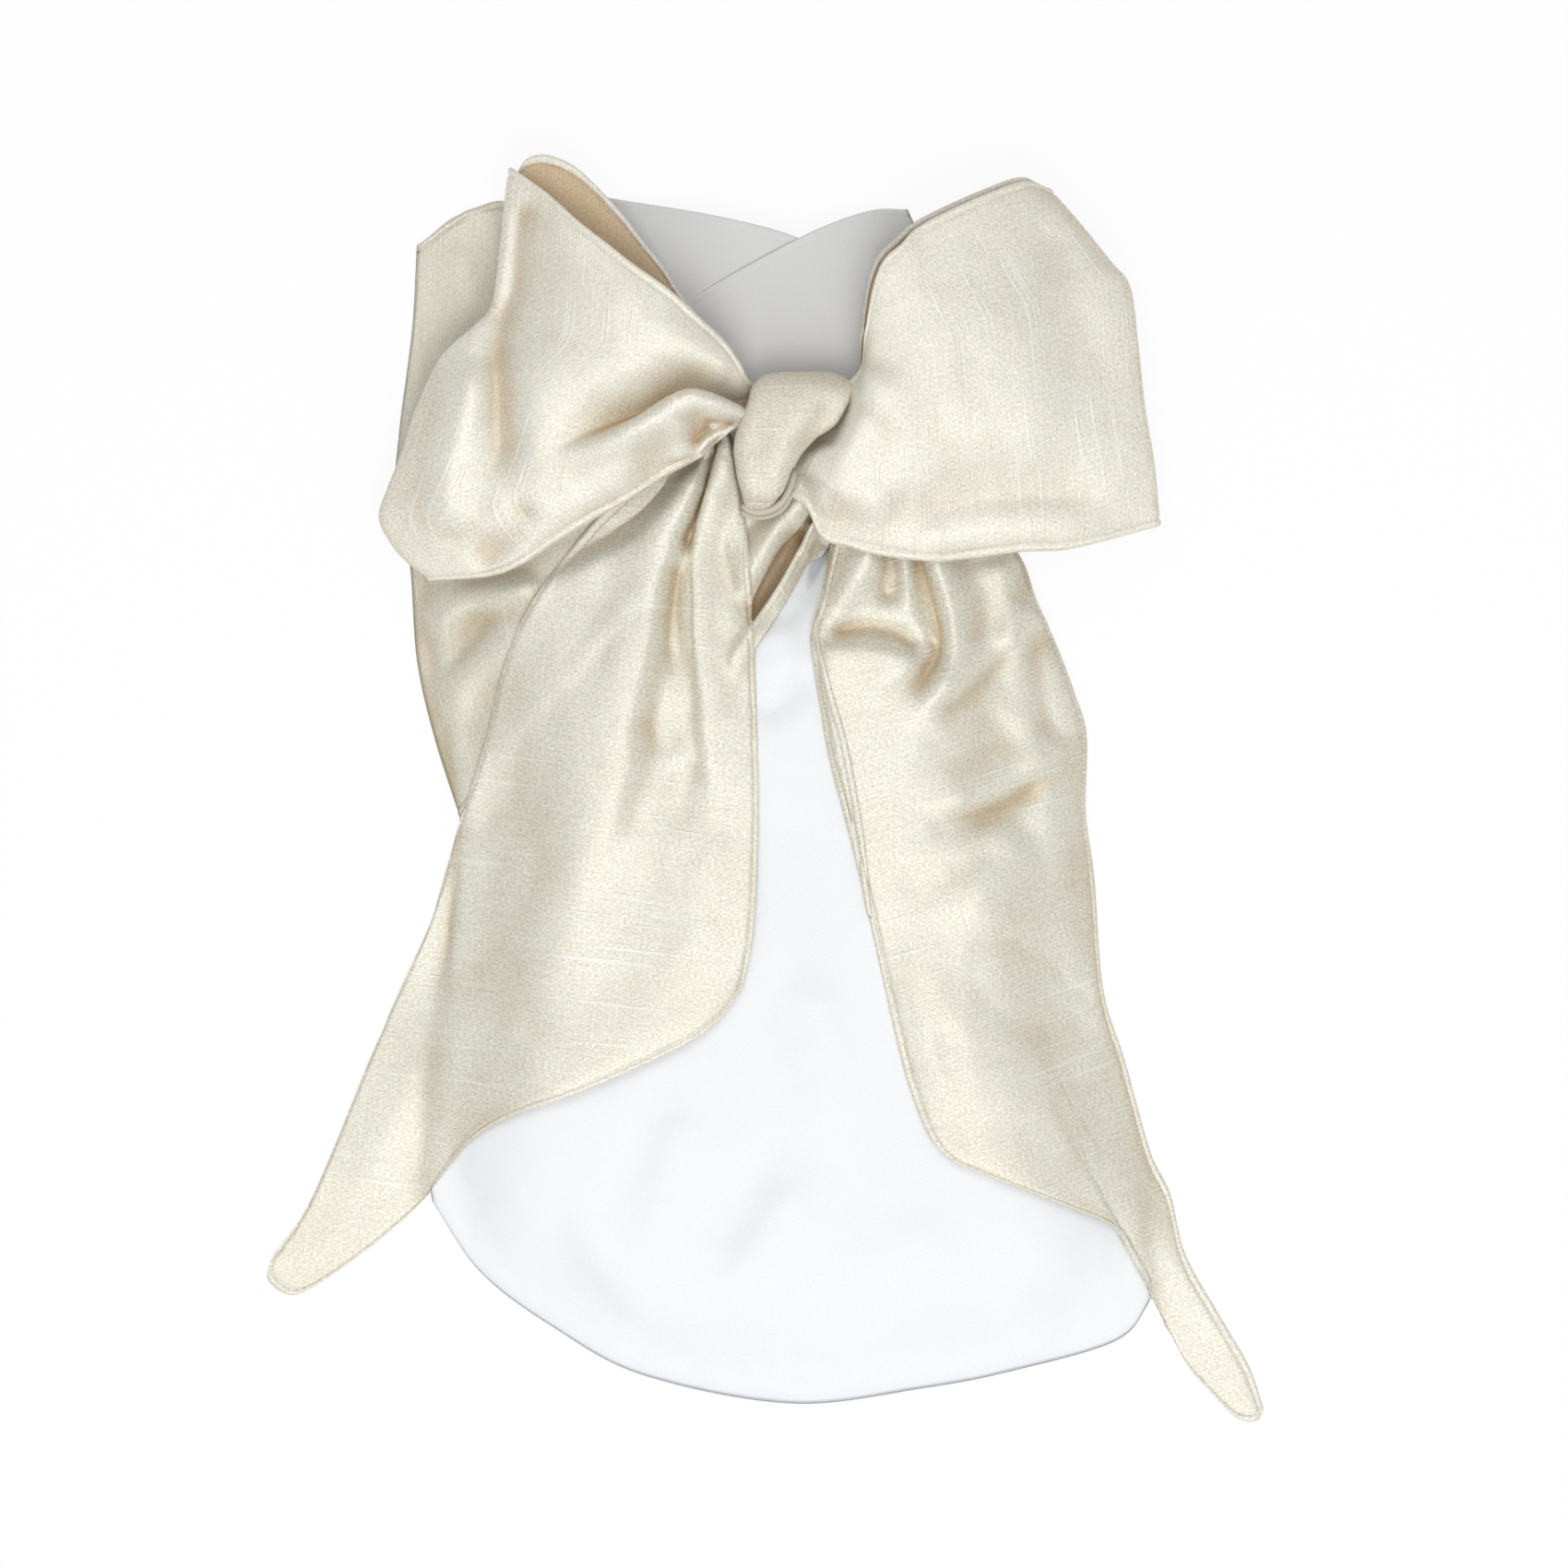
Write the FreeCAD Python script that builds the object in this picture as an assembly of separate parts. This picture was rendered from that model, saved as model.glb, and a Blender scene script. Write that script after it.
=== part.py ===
# Knotted satin sash tied in a bow round a soft jersey head cover, laid flat on a table.
# Millimetres.  +X is to the right, +Y is towards the open mouth of the cover, +Z is up off
# the table.  The origin is on the table, straight below the middle of the knot.
# Each cloth piece is one thin closed solid.  The pieces lie in layers, and the height of each
# layer comes from the layers below it, so a change of one size carries through to all of them.
import FreeCAD
import Part
import math
import os

V = FreeCAD.Vector

# ---- driving dimensions -------------------------------------------------------------------
SASH_THICK = 1.2        # two plies of silk, sewn and turned
JERSEY_THICK = 0.9      # one ply of knitted jersey
CLEAR = 0.3             # air between two layers that lie flat on each other
SLACK = 0.55            # air under a layer that is draped over a rounded one

CAP_WIDTH = 288.0       # widest part of the head cover, laid flat
CAP_LENGTH = 380.0      # from the knot down to the bottom of the bag
MOUTH_GAP = 10.0        # how far the mouth stands open
KNOT_GAP = 12.0         # room inside the cover under the knot
BAG_GAP = 21.0          # room inside the full part of the bag
EDGE_FALL = 50.0        # how far in from the side the cover takes to rise to its full height

KNOT_LEFT = 20.0        # reach of the knot wrap to the left of the origin
KNOT_RIGHT = 26.0       # and to the right, at its top edge
KNOT_TALL = 56.0        # size of the knot wrap along Y
KNOT_HIGH = 27.0        # height of the knot wrap over the layers it sits on
WRAP_THICK = 2.6        # gathered plies of the wrap

LOOP_PUFF = 21.0        # how much the front leaf of a loop bulges up
LOOP_FOLD_HIGH = 23.0   # height of the fold at the end of a loop
LOOP_LIFT = 5.5         # room kept between a loop's back leaf and the band below
LEFT_LOOP_REACH = 139.0
RIGHT_LOOP_REACH = 143.0

LEFT_TAIL_LENGTH = 300.0
RIGHT_TAIL_LENGTH = 337.0
TAIL_FOLD_HIGH = 5.0    # height of the soft folds that run down a tail


# ---- small helpers ------------------------------------------------------------------------
def step(t):
    """0 below 0, 1 above 1, and a smooth rise between."""
    t = max(0.0, min(1.0, t))
    return t * t * (3.0 - 2.0 * t)


def upper(a, b, soft=2.0):
    """The larger of two heights, with the corner between them rounded upwards."""
    return 0.5 * (a + b + math.sqrt((a - b) ** 2 + soft * soft))


def along(table, key):
    """A smooth value between (key, value) rows whose keys go down."""
    if key >= table[0][0]:
        return table[0][1]
    if key <= table[-1][0]:
        return table[-1][1]
    for i in range(len(table) - 1):
        k0, v0 = table[i]
        k1, v1 = table[i + 1]
        if k1 <= key <= k0:
            return v0 + (v1 - v0) * step((k0 - key) / (k0 - k1))
    return table[-1][1]


def spaced(points, count):
    """Points at even spacing on a smooth curve through a few given (x, y) points."""
    vectors = [V(x, y, 0) for x, y in points]
    if len(vectors) == 2:
        a, b = vectors
        return [a + (b - a) * (i / (count - 1.0)) for i in range(count)]
    curve = Part.BSplineCurve()
    curve.interpolate(vectors)
    return curve.toShape().discretize(Number=count)


def patch(near, far, left, right, nu, nv):
    """Plan grid of a four-sided piece: near and far run along u, left and right along v."""
    c0, c1 = spaced(near, nu), spaced(far, nu)
    d0, d1 = spaced(left, nv), spaced(right, nv)
    grid = []
    for i in range(nu):
        u = i / (nu - 1.0)
        row = []
        for j in range(nv):
            v = j / (nv - 1.0)
            p = c0[i] * (1 - v) + c1[i] * v + d0[j] * (1 - u) + d1[j] * u
            p -= (c0[0] * (1 - u) + c0[-1] * u) * (1 - v) + (c1[0] * (1 - u) + c1[-1] * u) * v
            row.append((u, v, p.x, p.y))
        grid.append(row)
    return grid


def clamped(count):
    """Knots and multiplicities of a cubic spline with count control points."""
    spans = count - 3
    return [float(i) for i in range(spans + 1)], [4] + [1] * (spans - 1) + [4]


def cloth(grid, low, thick):
    """Closed solid between the surface z = low(u, v, x, y) and the same surface set up by thick."""
    poles = [[V(x, y, low(u, v, x, y)) for u, v, x, y in row] for row in grid]
    u_knots, u_mults = clamped(len(poles))
    v_knots, v_mults = clamped(len(poles[0]))
    surface = Part.BSplineSurface()
    surface.buildFromPolesMultsKnots(poles, u_mults, v_mults, u_knots, v_knots, False, False, 3, 3)
    under = surface.toShape()
    over = under.translated(V(0, 0, thick))
    sides = [Part.makeRuledSurface(a, b) for a, b in zip(under.Edges, over.Edges)]
    shell = Part.makeShell([under, over] + sides)
    shell.sewShape()
    solid = Part.makeSolid(shell)
    if solid.Volume < 0:
        solid.reverse()
    return solid


# ---- the head cover's plan and the heights of the layers on it ------------------------------
WIDE = CAP_WIDTH / 288.0
LONG = CAP_LENGTH / 380.0


def cap_point(x, y):
    """A plan point of the cover, moved with its width and its length below the knot."""
    return (x * WIDE, y * LONG if y < 0 else y)


def cap_curve(points):
    return [cap_point(x, y) for x, y in points]


CAP_LEFT_ROWS = [(97, -73), (22, -122), (-40, -140), (-148, -130), (-277, -143)]
CAP_RIGHT_ROWS = [(92, 48), (11, 78), (-110, 100), (-226, 124), (-325, 143)]
CAP_BOTTOM_ROWS = [(144, -345), (89, -367), (1, -380), (-57, -369), (-110, -340), (-143, -297)]

CAP_LEFT = cap_curve([(-73, 97), (-93, 66), (-122, 22), (-140, -29), (-139, -88), (-130, -148),
                      (-134, -208), (-143, -277), (-141, -300)])
CAP_RIGHT = cap_curve([(47, 92), (64, 55), (78, 11), (88, -44), (100, -110), (113, -172),
                       (124, -226), (137, -281), (144, -338)])
CAP_BOTTOM = cap_curve([(-141, -300), (-122, -328), (-93, -350), (-57, -369), (1, -380), (53, -374),
                        (89, -367), (130, -355), (144, -338)])

BAND_LOW = -150.0       # lowest point of the wide band, in Y


def under_band(y):
    """1 where the wide band lies below the cover, 0 further down the bag."""
    return step((y - BAND_LOW + 35.0) / 30.0)


def cap_floor(x, y):
    return CLEAR + SASH_THICK * under_band(y)


def cap_inside(x, y, outset=0.0, fall=None):
    """0 at the cover's outline, 1 once well inside it."""
    fall = EDGE_FALL if fall is None else fall
    key = y / LONG if y < 0 else y
    left = along(CAP_LEFT_ROWS, key) * WIDE - outset
    right = along(CAP_RIGHT_ROWS, key) * WIDE + outset
    bottom = along(CAP_BOTTOM_ROWS, x / WIDE) * LONG - outset
    return step((x - left) / fall) * step((right - x) / fall) * step((y - bottom) / fall)


def cap_room(x, y):
    tall = BAG_GAP + (KNOT_GAP - BAG_GAP) * step((y + 110.0) / 80.0)
    tall += (MOUTH_GAP - KNOT_GAP) * step((y - 32.0) / 40.0)
    return tall * cap_inside(x, y)


def front_low(x, y):
    return cap_floor(x, y) + JERSEY_THICK + CLEAR + cap_room(x, y)


def crossover_rise(y):
    """The two crossing flaps at the mouth lift what lies on them."""
    return 2.0 * (JERSEY_THICK + CLEAR) * step((y + 62.0) / 24.0)


def pile(x, y):
    """Top of the cover and its flaps, sinking to the band or the table beyond the outline."""
    outside = SASH_THICK * under_band(y)
    top = front_low(x, y) + JERSEY_THICK + crossover_rise(y)
    return outside + (top - outside) * cap_inside(x, y, 24.0, 22.0)


def on_band(x, y):
    """Lowest level for what lies on the wide band's front layer."""
    return pile(x, y) + SLACK + (SASH_THICK + CLEAR) * under_band(y)


KNOT_FOOT = pile(0, 0) + SLACK + SASH_THICK + CLEAR       # the knot wrap sits on the band
KNOT_TOP = KNOT_FOOT + KNOT_HIGH


# ---- the head cover ---------------------------------------------------------------------------
def cap_back_panel():
    top = cap_curve([(-73, 95), (-30, 86), (4, 77), (28, 84), (47, 90)])
    left = [top[0]] + CAP_LEFT[1:]
    right = [top[-1]] + CAP_RIGHT[1:]
    grid = patch(CAP_BOTTOM, top, left[::-1], right[::-1], 20, 30)
    return cloth(grid, lambda u, v, x, y: cap_floor(x, y), JERSEY_THICK)


def cap_front_panel():
    left = [p for p in CAP_LEFT if p[1] < -80]
    right = [p for p in CAP_RIGHT if p[1] < -40]
    left = [cap_point(-137, -14), cap_point(-141, -50)] + left
    right = [cap_point(82, -14)] + right
    top = [left[0], right[0]]
    grid = patch(CAP_BOTTOM, top, left[::-1], right[::-1], 32, 36)
    return cloth(grid, lambda u, v, x, y: front_low(x, y), JERSEY_THICK)


def crossover_under():
    left = cap_curve([(-140, -29), (-122, 22), (-93, 66), (-73, 97)])
    top = cap_curve([(-73, 97), (-27, 88), (4, 80), (26, 64)])
    right = cap_curve([(22, -30), (24, 20), (26, 64)])
    low = cap_curve([(-140, -29), (22, -30)])
    grid = patch(low, top, left, right, 26, 20)
    return cloth(grid, lambda u, v, x, y: front_low(x, y) + JERSEY_THICK + CLEAR, JERSEY_THICK)


def crossover_over():
    left = cap_curve([(-92, -32), (-92, 8)])
    top = cap_curve([(-92, 8), (-66, 33), (-40, 55), (4, 80), (31, 91), (47, 92)])
    right = cap_curve([(87, -32), (78, 11), (64, 55), (47, 92)])
    low = cap_curve([(-92, -32), (87, -32)])
    grid = patch(low, top, left, right, 26, 20)
    rise = 2 * (JERSEY_THICK + CLEAR)
    return cloth(grid, lambda u, v, x, y: front_low(x, y) + rise, JERSEY_THICK)


# ---- the wide band round the cover --------------------------------------------------------------
LEFT_FOLD = [(-130, -148), (-140, -117), (-147, -86), (-150, -47), (-156, -26), (-154, 5),
             (-149, 44), (-147, 78)]
RIGHT_FOLD = [(98, -125), (92, -95), (88, -60), (92, -30), (101, 10), (104, 45), (96, 80)]


def band_back():
    top = [(-147, 78), (-124, 92), (-80, 85), (0, 70), (60, 70), (96, 80)]
    low = [(-130, -148), (-60, -150), (20, -146), (98, -125)]
    edges = []
    for points in (low, RIGHT_FOLD, top[::-1], LEFT_FOLD[::-1]):
        curve = Part.BSplineCurve()
        curve.interpolate([V(x, y, 0) for x, y in points])
        edges.append(curve.toShape())
    return Part.Face(Part.Wire(edges)).extrude(V(0, 0, SASH_THICK))


def band_left_side():
    """Front layer of the band, from the left fold to the knot."""
    inner = [(-10, -28), (-11, 0), (-14, 20)]
    top = [(-147, 78), (-124, 93), (-104, 92), (-60, 55), (-14, 20)]
    low = [(-130, -148), (-95, -104), (-50, -56), (-10, -28)]
    grid = patch(low, top, LEFT_FOLD, inner, 26, 30)
    return cloth(grid, lambda u, v, x, y: pile(x, y) + SLACK, SASH_THICK)


def band_right_side():
    inner = [(-4, -28), (-5, 0), (-8, 20)]
    top = [(-8, 20), (28, 36), (62, 62), (96, 80)]
    low = [(-4, -28), (40, -60), (70, -95), (98, -125)]
    grid = patch(low, top, inner, RIGHT_FOLD, 20, 26)
    return cloth(grid, lambda u, v, x, y: pile(x, y) + SLACK, SASH_THICK)


# ---- the knot ---------------------------------------------------------------------------------------
def oval(x, half_y, half_z, mid_y, mid_z):
    """A closed soft-cornered profile in a plane of constant X."""
    points = []
    for i in range(12):
        a = 2 * math.pi * i / 12
        c, s = math.cos(a), math.sin(a)
        points.append(V(x, mid_y + half_y * math.copysign(abs(c) ** 0.8, c),
                        mid_z + half_z * math.copysign(abs(s) ** 0.8, s)))
    curve = Part.BSplineCurve()
    curve.interpolate(points, PeriodicFlag=True)
    return Part.Wire([curve.toShape()])


def knot_barrel(inset):
    """A barrel along X, cut off on the slant at its lower right, as the wrap is."""
    half_y = KNOT_TALL / 2 - inset
    half_z = KNOT_HIGH / 2 - inset
    mid_z = KNOT_FOOT + KNOT_HIGH / 2
    left, right = -KNOT_LEFT, KNOT_RIGHT
    sections = []
    for share, size in ((0.0, 0.93), (0.25, 0.985), (0.5, 1.0), (0.75, 0.985), (1.0, 0.93)):
        x = left + (right - left) * share
        sections.append(oval(x, half_y * size, half_z * size, 1.0, mid_z))
    barrel = Part.makeLoft(sections, True, False)
    top_y = KNOT_TALL / 2 + 1
    low_y = top_y - KNOT_TALL
    corner = [V(right, top_y + 10, 0), V(right, top_y - 6, 0), V(-2, low_y, 0), V(-8, low_y - 10, 0),
              V(right + 40, low_y - 10, 0), V(right + 40, top_y + 10, 0)]
    cutter = Part.Face(Part.makePolygon(corner + [corner[0]])).extrude(V(0, 0, 200))
    return barrel.cut(cutter).Solids[0]


def knot_wrap():
    return knot_barrel(0.0).cut(knot_barrel_long(WRAP_THICK)).Solids[0]


def knot_barrel_long(inset):
    """The straight core of the wrap's hole, longer than the wrap at both ends."""
    half_y = KNOT_TALL * 0.465 - inset
    half_z = KNOT_HIGH * 0.465 - inset
    mid_z = KNOT_FOOT + KNOT_HIGH / 2
    wires = [oval(x, half_y, half_z, 1.0, mid_z) for x in (-KNOT_LEFT - 30, KNOT_RIGHT + 30)]
    return Part.makeLoft(wires, True, True)


def bow_core():
    """The gathered cloth that the wrap grips, from one loop through to the other."""
    return knot_barrel(0.0).common(knot_barrel_long(WRAP_THICK + CLEAR)).Solids[0]


def half_knot():
    """The first crossing's rolled strip, running down-left from under the wrap."""
    top = [(-11, -30), (3, -29.5), (13, -28)]
    low = [(-12.5, -84), (-6, -72), (3, -56), (10, -45)]
    left = [(-12.5, -84), (-13, -56), (-11, -30)]
    right = [(10, -45), (13, -36), (13, -28)]
    grid = patch(low, top, left, right, 9, 14)

    def low_z(u, v, x, y):
        return on_band(x, y) + 1.2 * math.sin(math.pi * u) * step((v + 0.2) / 0.6)
    return cloth(grid, low_z, 2 * SASH_THICK)


# ---- the loops ----------------------------------------------------------------------------------------
def shift_x(points, start, ratio):
    return [(start + (x - start) * ratio, y) for x, y in points]


def loop_pair(front_low_edge, front_top_edge, back_low_edge, back_top_edge, fold, root_front,
              root_back, puff_share):
    """Front leaf and back leaf of one loop, joined at its outer fold."""
    top_z = KNOT_TOP - WRAP_THICK - 2.0
    low_z = KNOT_FOOT + WRAP_THICK + 3.0

    def fold_z(v):
        return LOOP_FOLD_HIGH + 3.0 * math.sin(math.pi * v)

    def front_z(u, v, x, y):
        across = 0.45 + 0.55 * math.sin(math.pi * (0.08 + 0.84 * v))
        z = top_z * (1 - u) + fold_z(v) * u - 5.0 * (1 - u) * (1 - math.sin(math.pi * v))
        z += LOOP_PUFF * puff_share * across * math.sin(math.pi * u) ** 0.9
        floor = on_band(x, y) + LOOP_LIFT + 2 * SASH_THICK + 3.0
        return upper(z, floor, 1.5)

    def back_z(u, v, x, y):
        z = low_z * (1 - u) + fold_z(v) * u - 7.0 * math.sin(math.pi * u)
        floor = on_band(x, y) + LOOP_LIFT - 1.0
        gap = SASH_THICK + CLEAR
        return min(upper(z, floor, 1.5), front_z(u, v, x, y)) - gap

    front = cloth(patch(front_low_edge, front_top_edge, root_front, fold, 20, 20), front_z, SASH_THICK)
    back = cloth(patch(back_low_edge, back_top_edge, root_back, fold, 20, 20), back_z, SASH_THICK)
    return front, back


def left_loop():
    root = -KNOT_LEFT - CLEAR
    ratio = LEFT_LOOP_REACH / 139.0
    fold = [(-139, -55), (-150, -46), (-158.5, -29), (-151, -7), (-135, 31), (-117, 52), (-110, 78),
            (-107, 109)]
    low = [(root, 0), (-38, -10), (-57, -22), (-75, -33), (-93, -45), (-115, -53), (-139, -55)]
    top = [(root, 25), (-42, 49), (-60, 68), (-78, 84), (-93, 97), (-107, 109)]
    back_top = [(root, 26), (-42, 55), (-57, 80), (-69, 97), (-82, 108), (-95, 113), (-107, 109)]
    fold, low, top, back_top = [shift_x(c, root, ratio) for c in (fold, low, top, back_top)]
    return loop_pair(low, top, low, back_top, fold, [low[0], top[0]], [low[0], back_top[0]], 1.0)


def right_loop():
    ratio = RIGHT_LOOP_REACH / 143.0
    start = 2.0
    root = [(2.5, -21), (10, -7), (21, 11), (28, 25)]
    fold = [(145, -33), (141, -4), (136, 29), (133, 57), (117, 80), (100, 101)]
    low = [(2.5, -21), (9, -33), (18, -40.5), (35, -44), (49, -46), (75, -46), (97, -44), (122, -39),
           (145, -33)]
    top = [(28, 25), (31, 51), (37, 69), (48, 82), (68, 92), (86, 98), (100, 101)]
    back_top = [(28, 26), (33, 52), (40, 71), (51, 84), (70, 94.5), (87, 100), (100, 101)]
    knot_side = KNOT_RIGHT - 26.0
    root = [(x + knot_side * (y + 21) / 46.0, y) for x, y in root]
    low[0], top[0], back_top[0] = root[0], root[-1], (root[-1][0], root[-1][1] + 1)
    fold, low, top, back_top = [shift_x(c, start, ratio) for c in (fold, low, top, back_top)]
    root = shift_x(root, start, max(1.0, ratio))
    low[0], top[0], back_top[0] = root[0], root[-1], (root[-1][0], root[-1][1] + 1)
    back_root = root[:-1] + [back_top[0]]
    return loop_pair(low, top, low, back_top, fold, root, back_root, 0.85)


# ---- the tails ------------------------------------------------------------------------------------------
LEFT_HINGE = ((-9.0, -31.0), (-155.0, -80.0))      # plan line that the left tail folds up on
RIGHT_HINGE_Y = -51.0


def stretch(points, ratio, origin):
    """Scale a tail's plan away from its hinge, so its length can change."""
    ox, oy = origin
    return [(ox + (x - ox) * (0.5 + 0.5 * ratio), oy + (y - oy) * ratio) for x, y in points]


def fold_ridge(x, y, line, wide):
    """Height share of a soft ridge along a plan polyline, 1 on the line and 0 beyond its width."""
    best = 0.0
    for (x0, y0), (x1, y1) in zip(line, line[1:]):
        dx, dy = x1 - x0, y1 - y0
        t = max(0.0, min(1.0, ((x - x0) * dx + (y - y0) * dy) / (dx * dx + dy * dy)))
        away = math.hypot(x - x0 - dx * t, y - y0 - dy * t)
        best = max(best, step(1.0 - away / wide))
    return best


def left_tail_root():
    start = [(-17.5, -29), (-23, -15), (-25, -2)]
    cut = [(-16, -32.7), (-60, -47.5), (-103, -62)]
    near = [(-17.5, -29), (-16, -32.7)]
    far = [(-25, -2), (-57, -24), (-80, -42), (-103, -62)]
    grid = patch(near, far, start, cut, 12, 18)
    return cloth(grid, lambda u, v, x, y: on_band(x, y), SASH_THICK)


def left_tail():
    ratio = LEFT_TAIL_LENGTH / 300.0
    origin = (-60.0, -48.0)
    cut = [(-15.8, -33.7), (-60, -48.5), (-103.2, -63.2)]
    left = [(-103.2, -63.2), (-109, -77), (-119, -102), (-126, -131), (-131, -150), (-141, -175),
            (-151, -204), (-166, -245), (-177, -274), (-188, -297), (-199, -316), (-206, -332)]
    right = [(-15.8, -33.7), (-15, -60), (-13, -90), (-12, -135), (-13, -161), (-16, -197), (-18, -215)]
    end = [(-206, -332), (-199, -337), (-180, -330), (-159, -316), (-144, -299), (-133, -285),
           (-115, -270), (-93, -259), (-68, -248), (-42, -237), (-26, -226), (-18, -215)]
    left, right, end = [[c[0]] + stretch(c[1:], ratio, origin) if c is not end
                        else stretch(c, ratio, origin) for c in (left, right, end)]
    ridges = [[(-46, -80), (-62, -140), (-84, -190), (-110, -240)], [(-24, -90), (-30, -150), (-36, -200)],
              [(-95, -110), (-120, -170), (-150, -240)]]

    def low_z(u, v, x, y):
        folds = max(fold_ridge(x, y, ridge, 22.0) for ridge in ridges)
        return on_band(x, y) + TAIL_FOLD_HIGH * folds * step(v / 0.25) * (1.0 - 0.7 * v)
    grid = patch(cut[::-1], end, left, right, 24, 44)
    return cloth(grid, low_z, SASH_THICK)


def right_tail_root():
    near = [(17, -30), (30, -22), (44, -14)]
    cut = [(15, -50.4), (92, -50.4)]
    left = [(17, -30), (16.5, -40), (15, -50.4)]
    right = [(44, -14), (72, -30), (92, -50.4)]
    grid = patch(near, cut, left, right, 16, 10)
    return cloth(grid, lambda u, v, x, y: on_band(x, y), SASH_THICK)


def right_tail():
    ratio = RIGHT_TAIL_LENGTH / 337.0
    origin = (55.0, -51.0)
    cut = [(15, -51.6), (92, -51.6)]
    left = [(15, -51.6), (10, -65), (8.5, -80), (11, -97), (16, -117), (27, -153), (35, -190),
            (42, -219), (47, -248), (56, -271), (68, -283)]
    right = [(92, -51.6), (100, -73), (110, -95), (117, -115), (119, -140), (120, -172), (123, -212),
             (134, -243), (144, -281), (149, -298), (158, -326), (171, -346), (180, -364), (187, -386)]
    end = [(68, -283), (89, -288), (119, -299), (133, -306), (141, -316), (147, -334), (152, -350),
           (160, -367), (172, -382), (187, -386)]
    left, right = [[c[0]] + stretch(c[1:], ratio, origin) for c in (left, right)]
    end = stretch(end, ratio, origin)
    ridges = [[(60, -64), (62, -100), (52, -150), (60, -200)], [(100, -110), (76, -160), (84, -220)],
              [(30, -90), (40, -140), (52, -200), (64, -250)]]

    def low_z(u, v, x, y):
        folds = max(fold_ridge(x, y, ridge, 20.0) for ridge in ridges)
        return on_band(x, y) + TAIL_FOLD_HIGH * folds * step(v / 0.2) * (1.0 - 0.7 * v)
    grid = patch(cut, end, left, right, 24, 48)
    return cloth(grid, low_z, SASH_THICK)


# ---- build and write -------------------------------------------------------------------------------------
def build():
    left_front, left_back = left_loop()
    right_front, right_back = right_loop()
    return {
        "band_back": band_back(), "band_left_side": band_left_side(),
        "band_right_side": band_right_side(), "cap_back_panel": cap_back_panel(),
        "cap_front_panel": cap_front_panel(), "crossover_under": crossover_under(),
        "crossover_over": crossover_over(), "knot_wrap": knot_wrap(), "bow_core": bow_core(),
        "half_knot": half_knot(), "left_loop_front": left_front, "left_loop_back": left_back,
        "right_loop_front": right_front, "right_loop_back": right_back,
        "left_tail_root": left_tail_root(), "left_tail": left_tail(),
        "right_tail_root": right_tail_root(), "right_tail": right_tail(),
    }


os.makedirs("parts", exist_ok=True)
for node, shape in build().items():
    box = shape.optimalBoundingBox(True, False)
    print("%-17s valid %s  volume %8.0f  x %.0f..%.0f  y %.0f..%.0f  z %.1f..%.1f" % (
        node, shape.isValid(), shape.Volume, box.XMin, box.XMax, box.YMin, box.YMax, box.ZMin, box.ZMax))
    shape.exportStep("parts/%s.step" % node)
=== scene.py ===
# %% [markdown]
# # A silk sash knotted in a bow round a jersey head cover
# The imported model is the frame: it says where each stretch of cloth lies and which body it
# moves with. Here each plain CAD sheet is replaced by real-looking cloth of the same place and
# size. Lengths are given in millimetres, because that is how the cloth was measured out, and
# are turned into metres when a mesh is made.

# %% Load the frame
import math

import bpy
import numpy as np
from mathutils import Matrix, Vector, noise
from mathutils.bvhtree import BVHTree


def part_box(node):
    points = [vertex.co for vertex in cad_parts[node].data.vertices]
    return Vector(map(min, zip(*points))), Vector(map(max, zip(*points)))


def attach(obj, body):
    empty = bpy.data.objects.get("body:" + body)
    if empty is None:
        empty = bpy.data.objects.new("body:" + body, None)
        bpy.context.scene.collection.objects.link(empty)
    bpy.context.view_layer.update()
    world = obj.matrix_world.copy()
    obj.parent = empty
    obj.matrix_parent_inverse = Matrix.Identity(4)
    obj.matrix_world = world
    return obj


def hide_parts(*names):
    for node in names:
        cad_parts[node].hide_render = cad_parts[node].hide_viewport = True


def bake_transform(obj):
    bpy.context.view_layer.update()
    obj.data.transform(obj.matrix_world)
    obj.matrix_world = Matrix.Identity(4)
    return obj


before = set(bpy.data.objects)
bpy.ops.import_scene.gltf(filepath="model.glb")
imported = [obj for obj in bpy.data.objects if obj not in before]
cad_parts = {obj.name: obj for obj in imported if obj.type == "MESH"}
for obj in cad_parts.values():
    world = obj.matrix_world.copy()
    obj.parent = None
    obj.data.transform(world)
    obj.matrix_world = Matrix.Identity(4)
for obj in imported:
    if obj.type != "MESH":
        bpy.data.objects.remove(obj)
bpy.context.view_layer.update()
MM = 0.001

# %% [markdown]
# ## Cloth as a grid
# A piece of cloth has four edges. Each edge is a smooth curve through a few points, and the
# inside is filled so that it follows all four. The rows are close together beside an edge,
# because a sewn edge has a rolled bead and a stitched groove a few millimetres in.

# %% Curves, grids and folds
def smooth_line(points, shares):
    """Points at given shares of the length of a smooth curve through a few points."""
    p = np.array(points, float)
    if len(p) > 2:
        ends = np.vstack([2 * p[0] - p[1], p, 2 * p[-1] - p[-2]])
        t = np.linspace(0, 1, 24, endpoint=False)[:, None]
        runs = []
        for i in range(len(p) - 1):
            a, b, c, d = ends[i:i + 4]
            runs.append(0.5 * (2 * b + (c - a) * t + (2 * a - 5 * b + 4 * c - d) * t ** 2
                               + (3 * b - a - 3 * c + d) * t ** 3))
        p = np.vstack(runs + [p[-1:]])
    s = np.r_[0, np.cumsum(np.linalg.norm(np.diff(p, axis=0), axis=1))]
    return np.stack([np.interp(shares, s / s[-1], p[:, k]) for k in range(p.shape[1])], axis=1)


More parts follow.
